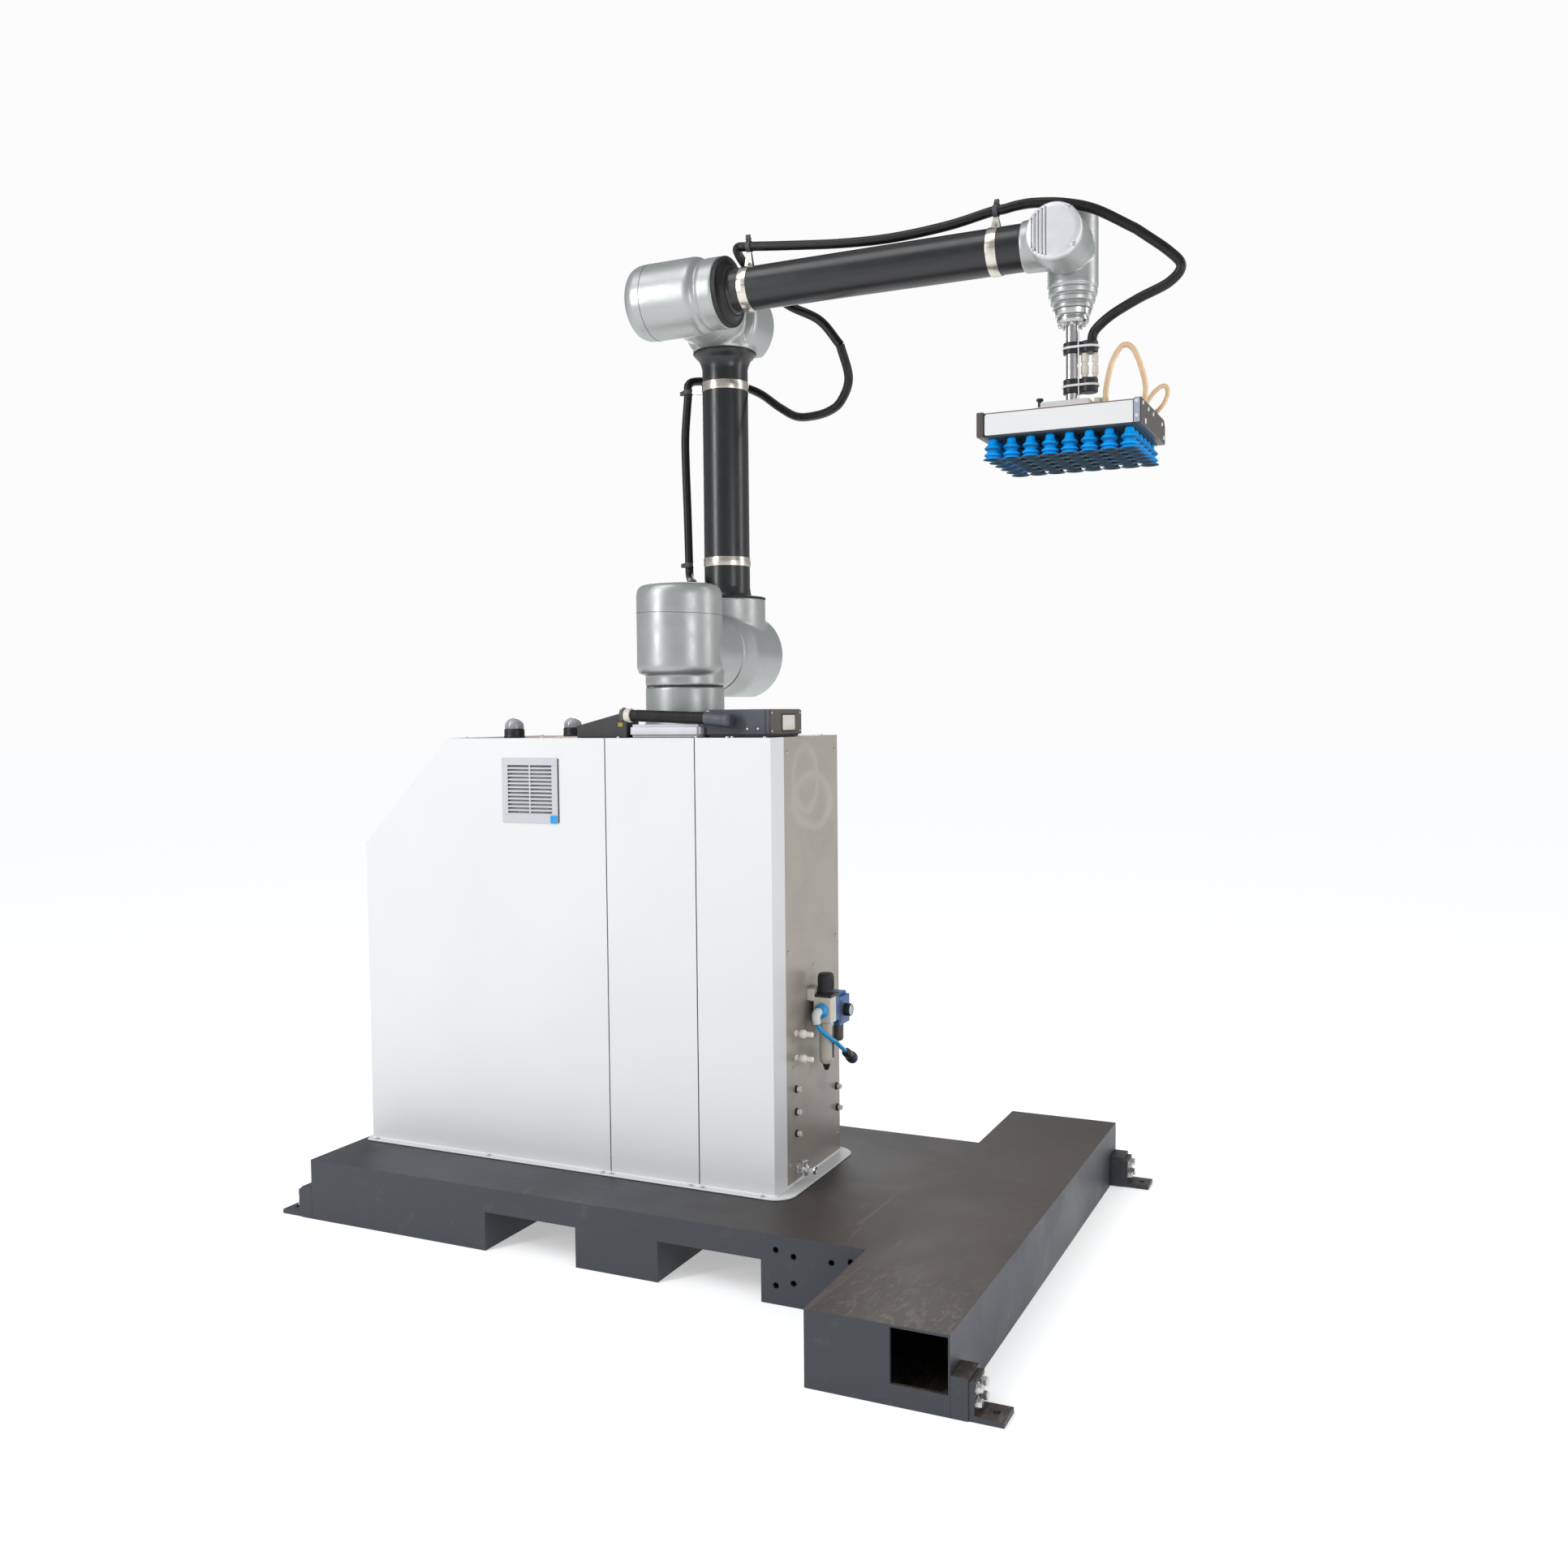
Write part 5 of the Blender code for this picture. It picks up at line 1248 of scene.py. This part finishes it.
def dress_wrist():
    """The wrist housing with its stepped taper, end cap and flange screws."""
    low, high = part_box("wrist_housing")
    centre = (WRIST_X, TOOL_Y, 0)
    body = bmesh.new()
    outline = [(0, 1.7430), (0.0450, 1.7430), (0.0450, high.z - 0.0055), (0.0390, high.z), (0, high.z)]
    lathe(body, rounded(outline, 0.0030), "Z", centre)
    disc(body, 0.0425, 0.0268, TOOL_Y, "Y", (WRIST_X, 0, ELBOW_Z), edge=0.0010)
    casting("wrist_casting", body, SILVER, "wrist", ("wrist_housing",), 0.0016, 8)
    steps = [(0, low.z), (0.0335, low.z), (0.0350, low.z + 0.0020), (0.0352, low.z + 0.0070),
             (0.0338, low.z + 0.0080),
             (0.0338, low.z + 0.0095), (0.0385, low.z + 0.0120), (0.0400, low.z + 0.0190),
             (0.0384, low.z + 0.0205),
             (0.0384, low.z + 0.0222), (0.0425, low.z + 0.0250), (0.0438, low.z + 0.0330),
             (0.0426, low.z + 0.0346),
             (0.0428, low.z + 0.0362), (0.0450, low.z + 0.0400), (0.0451, low.z + 0.0480),
             (0, low.z + 0.0480)]
    turned("wrist_steps", rounded(steps, 0.0010), SILVER, "wrist", "Z", centre, smooth=60)
    cap = bmesh.new()
    lathe(cap, rounded([(0, high.z - 0.001), (0.0370, high.z - 0.001), (0.0370, high.z + 0.0016),
                        (0.0350, high.z + 0.0026), (0, high.z + 0.0026)], 0.0008), "Z", centre)
    piece("wrist_top_cap", cap, SILVER_LIGHT, "wrist")
    screws = bmesh.new()
    for step in range(6):
        turn = 2 * math.pi * step / 6 + 0.35
        screw(screws, (WRIST_X + 0.0310 * math.cos(turn), TOOL_Y + 0.0310 * math.sin(turn), high.z + 0.0024),
              "Z",
              0.0030, 0.0014)
    piece("wrist_cap_screws", screws, BOLT_STEEL, "wrist")


# ---------------------------------------------------------------- clips and cable

def dress_clip(node, centre, axis, tube_r, cable_spot, body, tail=1):
    """A stainless band with bolted ears, and a grey strap that holds the cable against them."""
    centre, cable_spot = Vector(centre), Vector(cable_spot)
    toward = (cable_spot - centre).normalized()
    forward = Vector([1.0 if letter == axis else 0.0 for letter in "XYZ"])
    across = toward.cross(forward)
    half = CLIP_HALF_WIDTH
    band = bmesh.new()
    lathe(band, rounded([(tube_r + 0.0001, -half), (tube_r + 0.0013, -half), (tube_r + 0.0018, 0.0),
                         (tube_r + 0.0013, half), (tube_r + 0.0001, half)], 0.0006), axis, centre, 96)
    reach = max((cable_spot - centre).length - CABLE_R - 0.0030, tube_r + 0.0085)
    for side in (-1, 1):
        start = centre + toward * (tube_r - 0.0005) + across * side * 0.0048
        end = centre + toward * reach + across * side * 0.0022
        plate = block(band, (-0.0007, -half * 0.92, 0), (0.0007, half * 0.92, (end - start).length))
        for vertex in plate:
            rise = vertex.co.z / (end - start).length
            vertex.co.y *= 1 - 0.45 * rise
            vertex.co.x -= side * 0.0026 * rise
        turn = Matrix((across, forward, toward)).transposed().to_4x4()
        bmesh.ops.transform(band, matrix=Matrix.Translation(start) @ turn, verts=plate)
    piece(node + "_band", band, STAINLESS, body, (node,), smooth=35)
    bolt = bmesh.new()
    middle = centre + toward * (tube_r + 0.0048)
    sweep(bolt, [middle - across * 0.0105, middle + across * 0.0100], 0.0021, 16)
    sweep(bolt, [middle - across * 0.0120, middle - across * 0.0070], 0.0040, 6)
    sweep(bolt, [middle + across * 0.0050, middle + across * 0.0090], 0.0042, 6)
    piece(node + "_bolt", bolt, BOLT_STEEL, body, smooth=30)
    strap = bmesh.new()
    grip = 0.0045
    inner, outer = CABLE_R + 0.0002, CABLE_R + 0.0021
    lathe(strap, rounded([(inner, -grip), (outer, -grip), (outer + 0.0002, 0), (outer, grip), (inner, grip)],
                         0.0005),
          axis, cable_spot, 48)
    turn = Matrix((across, forward, toward)).transposed().to_4x4()
    foot = block(strap, (-0.0022, -grip, -CABLE_R - 0.0070), (0.0022, grip, -CABLE_R - 0.0002))
    bmesh.ops.transform(strap, matrix=Matrix.Translation(cable_spot) @ turn, verts=foot)
    piece(node + "_strap", strap, STRAP_GREY, body, smooth=35)
    end = bmesh.new()
    lean = Matrix.Rotation(math.radians(14 * tail), 4, "Y")
    free = block(end, (-0.0030, -grip * 0.95, outer - 0.0016), (0.0030, grip * 0.95, outer + 0.0105))
    bmesh.ops.transform(end, matrix=Matrix.Translation(cable_spot) @ turn @ lean, verts=free)
    knuckle = block(end, (-0.0044, -grip * 1.05, outer + 0.0015), (0.0044, grip * 1.05, outer + 0.0042))
    bmesh.ops.transform(end, matrix=Matrix.Translation(cable_spot) @ turn @ lean, verts=knuckle)
    piece(node + "_tail", end, STRAP_GREY, body, bevel=0.0009)


CABLE_ROUTE = {
    "shoulder": [(-0.026, 0.086, 1.2363), (-0.026, 0.086, 1.2440), (-0.028, 0.091, 1.2550),
                 (-0.037, 0.106, 1.2670),
                 (-0.055, 0.136, 1.2740), (-0.073, 0.164, 1.2800), (-0.0860, 0.183, 1.2905),
                 (-0.0890, 0.187, 1.3000), (-0.0890, 0.187, 1.3068)],
    "upper_arm": [(-0.0890, 0.187, 1.3068), (-0.0895, 0.187, 1.3200), (-0.0916, 0.187, 1.4229),
                  (-0.0943, 0.187, 1.5191), (-0.0945, 0.187, 1.5830), (-0.0875, 0.187, 1.6600),
                  (-0.0868, 0.187, 1.6780)],
    "elbow_hang": [(-0.0868, 0.187, 1.6780), (-0.0868, 0.187, 1.6850), (-0.0820, 0.202, 1.6960),
                   (-0.0610, 0.238, 1.7010), (-0.0100, 0.262, 1.6930), (0.0450, 0.254, 1.6700),
                   (0.1060, 0.222, 1.6290), (0.1550, 0.196, 1.6010), (0.2016, 0.170, 1.5917),
                   (0.2500, 0.143, 1.5920),
                   (0.2860, 0.119, 1.6040), (0.3100, 0.099, 1.6410), (0.3000, 0.082, 1.7000)],
    "elbow_rise": [(0.3000, 0.082, 1.7000), (0.2610, 0.075, 1.7490), (0.2010, 0.075, 1.7830),
                   (0.1520, 0.083, 1.8200), (0.1200, 0.076, 1.8550), (0.1075, 0.052, 1.8780),
                   (0.1130, 0.022, 1.8860),
                   (0.1240, 0.006, 1.8855), (0.1330, 0.0000, 1.8835), (0.1400, 0.0000, 1.8827)],
    "forearm": [(0.1400, 0, 1.8827), (0.1540, 0, 1.8815), (0.2300, 0, 1.8720), (0.3400, 0, 1.8600),
                (0.4380, 0, 1.8556), (0.5400, 0, 1.8610), (0.6100, 0, 1.8715), (0.6250, 0, 1.8735),
                (0.6380, 0, 1.8740)],
    "wrist_arch": [(0.6380, 0, 1.8740), (0.6460, 0, 1.8742), (0.6680, 0.001, 1.8770),
                   (0.6980, 0.005, 1.8780),
                   (0.7480, 0.009, 1.8710), (0.8000, 0.018, 1.8550), (0.8650, 0.035, 1.8180)],
    "wrist_drop": [(0.8650, 0.035, 1.8180), (0.9180, 0.045, 1.7760), (0.9372, 0.050, 1.7500),
                   (0.9160, 0.055, 1.7270),
                   (0.8640, 0.060, 1.7080), (0.8180, 0.066, 1.6880), (0.7900, 0.071, 1.6690),
                   (0.7825, 0.072, 1.6570),
                   (0.7820, 0.072, 1.6485)],
}


def dress_cable():
    """The dress cable. Each free loop is swept once in one fixed shape and rides on no body."""
    whole = {"upper_arm": ("upper_arm", "cable_upper_arm"), "forearm": ("forearm", "cable_forearm")}
    bending = {"shoulder": ("shoulder", "upper_arm", "cable_shoulder"),
               "elbow_hang": ("upper_arm", "elbow", "cable_elbow_loop"),
               "elbow_rise": ("elbow", "forearm", "cable_elbow_loop"),
               "wrist_arch": ("forearm", "wrist", "cable_wrist_loop"),
               "wrist_drop": ("wrist", "tool", "cable_wrist_loop")}
    for stretch, points in CABLE_ROUTE.items():
        tool = bmesh.new()
        sweep(tool, smooth_route(points, 0.004), CABLE_R, 24)
        if stretch in whole:
            body, node = whole[stretch]
            piece("dress_cable_" + stretch, tool, SHEATH, body, (node,), smooth=80)
        else:
            first, second, node = bending[stretch]
            made = piece("dress_cable_" + stretch, tool, SHEATH, None, (node,), smooth=80)
            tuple(points[0])
            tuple(points[-1])
            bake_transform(made)


# ---------------------------------------------------------------- gripper

def dress_tool():
    """The polished stem, the flange screws and the banded clamps with their small fittings."""
    low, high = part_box("tool_stem")
    centre = (WRIST_X, TOOL_Y, 0)
    outline = [(0, low.z), (0.0120, low.z), (0.0120, 1.6790), (0.0262, 1.6800), (0.0285, 1.6850),
               (0.0288, 1.6900),
               (0.0272, 1.6912), (0.0272, 1.6925), (0.0305, 1.6945), (0.0330, high.z), (0, high.z)]
    turned("stem", rounded(outline, 0.0008), POLISHED, "tool", "Z", centre, ("tool_stem",),
           smooth=45)
    screws = bmesh.new()
    for step in range(8):
        turn = 2 * math.pi * step / 8 + 0.2
        screw(screws, (WRIST_X + 0.0212 * math.cos(turn), TOOL_Y + 0.0212 * math.sin(turn), 1.6802), "Z",
              0.0031, 0.0046,
              side=-1)
    piece("flange_screws", screws, BOLT_STEEL, "tool")
    pipe_x = WRIST_X + 0.0300
    clamps, bands = bmesh.new(), bmesh.new()
    for bottom, top in ((1.6280, 1.6480), (1.5590, 1.5840)):
        for x, radius in ((WRIST_X, 0.0162), (pipe_x, 0.0152)):
            disc(clamps, radius, bottom, top, "Z", (x, TOOL_Y, 0), 48, 0.0022)
        block(clamps, (WRIST_X, TOOL_Y - 0.0135, bottom + 0.0012), (pipe_x, TOOL_Y + 0.0135, top - 0.0012))
        middle = (bottom + top) / 2
        band_tie(bands, middle, pipe_x)
    piece("stem_clamp_pads", clamps, BLACK_PLASTIC, "tool", ("stem_clamps",), bevel=0.0008,
          angle=50)
    piece("clamp_bands", bands, SEAM_WHITE, "tool", smooth=60)
    tie = bmesh.new()
    sweep(tie,
          smooth_route([(WRIST_X + 0.0150, TOOL_Y - 0.0158, 1.6660), (WRIST_X + 0.0145, TOOL_Y - 0.0172,
                  1.6480),
                             (WRIST_X + 0.0148, TOOL_Y - 0.0165, 1.6150), (WRIST_X + 0.0150, TOOL_Y - 0.0172,
                                     1.5800),
                             (WRIST_X + 0.0152, TOOL_Y - 0.0160, 1.5480)], 0.004), 0.0011, 10)
    piece("white_tie", tie, SEAM_WHITE, "tool", smooth=60)
    fittings = bmesh.new()
    for x, y, radius in ((WRIST_X + 0.0235, TOOL_Y - 0.0060, 0.0070), (WRIST_X + 0.0405, TOOL_Y, 0.0058)):
        outline = [(0, 1.5850), (radius * 0.8, 1.5850), (radius * 0.8, 1.5900), (radius, 1.5920),
                   (radius, 1.6050),
                   (radius * 0.72, 1.6070), (radius * 0.72, 1.6100), (radius, 1.6120), (radius, 1.6230),
                   (radius * 0.7, 1.6275), (0, 1.6275)]
        lathe(fittings, rounded(outline, 0.0010), "Z", (x, y, 0), 32)
    for x, y in ((0.7925, 0.0660), (0.8010, 0.0720)):
        disc(fittings, 0.0058, 1.5210, 1.5480, "Z", (x, y, 0), 24, 0.0015)
    piece("hose_fittings", fittings, CREAM, "tool")


def band_tie(tool, height, pipe_x):
    """Add a flat pale band round the stem and the cable side by side."""
    radius, steps = 0.0170, 14
    route = []
    for x, start in ((WRIST_X, 90), (pipe_x, -90)):
        for step in range(steps + 1):
            turn = math.radians(start + 180 * step / steps)
            route.append(Vector((x + radius * math.cos(turn), TOOL_Y + radius * math.sin(turn), height)))
    route.append(route[0].copy())
    for offset in (-0.0012, 0, 0.0012):
        sweep(tool, [spot + Vector((0, 0, offset)) for spot in route], 0.0009, 8)


def dress_gripper():
    """Mounting plate, chamber with its white front panel, end plates, cups and hoses."""
    low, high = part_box("gripper_mount_plate")
    plate = bmesh.new()
    prism(plate, rounded_rectangle((low.x, low.y), (high.x, high.y), (0.004,) * 4), low.z, high.z - 0.0034,
          "Z")
    prism(plate, rounded_rectangle((low.x + 0.010, low.y + 0.006), (high.x - 0.002, high.y - 0.006),
                                   (0.004,) * 4),
          high.z - 0.0040, high.z + PLATE_RAISE, "Z")
    disc(plate, 0.0190, high.z - 0.002, high.z + 0.0090, "Z", (WRIST_X, TOOL_Y, 0), 64, 0.0015)
    piece("mount_plate_finished", plate, GRIPPER_WHITE, "tool", ("gripper_mount_plate",),
          bevel=0.0016)
    knob = bmesh.new()
    disc(knob, 0.0036, high.z - 0.004, high.z + 0.0090, "Z", (0.6970, 0.0400, 0), 24, 0.0006)
    disc(knob, 0.0062, high.z + 0.0085, high.z + 0.0130, "Z", (0.6970, 0.0400, 0), 24, 0.0012)
    piece("plate_fitting", knob, BLACK_PLASTIC, "tool")
    low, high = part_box("vacuum_chamber")
    chamber = bmesh.new()
    block(chamber, (low.x, low.y + 0.0030, low.z + 0.001), (high.x, high.y, high.z))
    piece("chamber_finished", chamber, GRIPPER_TOP, "tool", ("vacuum_chamber",),
          bevel=0.0022)
    panel = bmesh.new()
    corners = rounded_rectangle((low.x + 0.0015, low.z + 0.0005), (high.x - 0.0010, high.z - 0.0030),
                                (0.0030, 0.0010, 0.0010, 0.0045))
    prism(panel, corners, low.y - 0.0008, low.y + 0.0035, "Y")
    piece("gripper_front_panel", panel, GRIPPER_WHITE, "tool", bevel=0.0009)
    rear = bmesh.new()
    corners = rounded_rectangle((low.x + 0.0015, low.z + 0.0005), (high.x - 0.0015, high.z - 0.0030),
                                (0.0020,) * 4)
    prism(rear, corners, high.y - 0.0008, high.y + 0.0010, "Y")
    piece("gripper_rear_panel", rear, GRIPPER_WHITE, "tool", bevel=0.0006)
    # Painted shade: the plate under the chamber is dark teal, the shade seen between and above the cups.
    under = bmesh.new()
    block(under, (low.x, low.y + 0.001, low.z - 0.0030), (high.x, high.y - 0.001, low.z + 0.0012))
    piece("gripper_cup_plate", under, UNDERSIDE_SHADE_TEAL, "tool", bevel=0.0008)
    dress_end_plates()
    dress_cups()
    dress_hoses()


def dress_end_plates():
    """The dark end plates with their screws and patches, and the pale strip on the right one."""
    screws, patches, strips = bmesh.new(), bmesh.new(), bmesh.new()
    for name, side in (("left", -1), ("right", 1)):
        node = f"gripper_end_plate_{name}"
        softened(node, GRIPPER_DARK, 0.0016)
        low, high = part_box(node)
        face = low.x if side < 0 else high.x
        inner = high.x if side < 0 else low.x
        if side > 0:
            block(strips, (inner, low.y - 0.0012, low.z + 0.0020),
                  (inner + 0.0100, low.y + 0.0006, high.z - 0.0010))
            for z in (low.z + 0.0125, high.z - 0.0065):
                screw(screws, (inner + 0.0050, low.y - 0.0010, z), "Y", 0.0028, 0.0014, side=-1)
        for y, z in ((low.y + 0.012, high.z - 0.0080), (low.y + 0.060, high.z - 0.0100),
                     (low.y + 0.105, high.z - 0.0100),
                     (high.y - 0.035, high.z - 0.0120), (high.y - 0.018, low.z + 0.0100)):
            screw(screws, (face, y, z), "X", 0.0036, 0.0018, side=side)
        block(patches, (min(face, face + side * 0.0008), low.y + 0.030, low.z + 0.0045),
              (max(face, face + side * 0.0008), low.y + 0.041, low.z + 0.0130))
    piece("end_plate_strips", strips, GRIPPER_BLUE_GREY, "tool", bevel=0.0005)
    piece("end_plate_screws", screws, GRIPPER_WHITE, "tool")
    piece("end_plate_patches", patches, SEAM_WHITE, "tool", bevel=0.0004)


def cup_outline(top, low):
    """A bellows cup from its collar down: two folds and a thin lip, hollow underneath."""
    drop = top - low
    outer = [(0.0036, 0.00), (0.0064, 0.03), (0.0076, 0.10), (0.0078, 0.24), (0.0090, 0.30), (0.0136, 0.42),
             (0.0148, 0.47), (0.0132, 0.53), (0.0098, 0.60), (0.0094, 0.64), (0.0128, 0.72), (0.0152, 0.78),
             (0.0150, 0.81), (0.0120, 0.86), (0.0116, 0.89), (0.0150, 0.96), (0.0168, 1.00)]
    inner = [(0.0156, 1.00), (0.0108, 0.91), (0.0060, 0.84), (0.0030, 0.80)]
    walls = [(radius, top - drop * share) for radius, share in outer + inner]
    return [(0, top)] + walls + [(0, top - drop * 0.80)]


def dress_cups():
    """Six rows of eight bellows cups."""
    low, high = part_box("suction_cups")
    outline = cup_outline(high.z - 0.0020, low.z)
    tool, stems = bmesh.new(), bmesh.new()
    for row in range(CUP_ROWS):
        for index in range(CUPS_PER_ROW):
            x = WRIST_X + (index - (CUPS_PER_ROW - 1) / 2) * CUP_STEP_X
            y = TOOL_Y + (row - (CUP_ROWS - 1) / 2) * CUP_STEP_Y
            lathe(tool, outline, "Z", (x, y, 0), 28)
            disc(stems, 0.0026, low.z + 0.0066, low.z + 0.0082, "Z", (x, y, 0), 12)
    piece("bellows_cups", tool, CUP_BLUE, "tool", ("suction_cups",), smooth=60)
    piece("cup_filters", stems, STAINLESS, "tool")


def dress_hoses():
    """Two clear amber vacuum hoses that loop from the stem's fittings to the chamber's top."""
    large = [(0.8105, 0.060, 1.5205), (0.8085, 0.060, 1.5550), (0.8170, 0.061, 1.6000),
             (0.8300, 0.0615, 1.6250),
             (0.8420, 0.062, 1.6330), (0.8560, 0.063, 1.6230), (0.8690, 0.064, 1.5900),
             (0.8760, 0.064, 1.5560),
             (0.8715, 0.064, 1.5230)]
    small = [(0.8600, 0.108, 1.5205), (0.8690, 0.110, 1.5400), (0.8850, 0.114, 1.5610),
             (0.8990, 0.119, 1.5680),
             (0.9030, 0.125, 1.5560), (0.8920, 0.132, 1.5360), (0.8715, 0.138, 1.5205)]
    nuts = bmesh.new()
    for name, points, radius in (("large", large, 0.0048), ("small", small, 0.0040)):
        route = smooth_route(points, 0.003)
        tool = bmesh.new()
        sweep(tool, route, radius, 20)
        made = piece(f"amber_hose_{name}", tool, AMBER, "tool", smooth=80)
        length = sum((after - before).length for before, after in zip(route, route[1:]))
        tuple(points[0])
        for end in (points[0], points[-1]):
            disc(nuts, radius + 0.0022, end[2] - 0.0020, end[2] + 0.0060, "Z", (end[0], end[1], 0), 6,
                 0.0005)
    piece("hose_nuts", nuts, BRONZE_BOX, "tool", smooth=30)


def finish_hidden():
    """Finishes for the CAD nodes that stay as they are, most of them inside the cabinet and the arm."""
    finishes = {"cabinet_frame": BASE_PAINT, "robot_pedestal": BASE_PAINT, "robot_controller": DARK_GREY,
                "vacuum_pump": BASE_PAINT, "joint_1_drive": BASE_PAINT, "joint_2_drive": BASE_PAINT,
                "fan_rotor": BLACK_PLASTIC}
    for node, finish in finishes.items():
        mesh = frame["nodes"][node].data
        mesh.materials.clear()
        mesh.materials.append(finish)


make_camera()
make_lights()
make_floor(pale_floor())
dress_base()
dress_cabinet()
dress_grille()
dress_top()
dress_panel()
dress_shoulder()
dress_upper_arm()
dress_elbow()
dress_forearm()
dress_wrist()
dress_clip("arm_clip_lower", (0, ARM_Y, 1.3137), "Z", 0.047, (-0.0893, ARM_Y, 1.3137), "upper_arm")
dress_clip("arm_clip_upper", (0, ARM_Y, 1.6710), "Z", 0.047, (-0.0868, ARM_Y, 1.6710), "upper_arm")
dress_clip("forearm_clip_rear", (0.1500, 0, ELBOW_Z), "X", 0.040, (0.1500, 0, 1.8818), "forearm", -1)
dress_clip("forearm_clip_front", (0.6300, 0, ELBOW_Z), "X", 0.040, (0.6300, 0, 1.8735), "forearm")
dress_cable()
dress_tool()
dress_gripper()
finish_hidden()
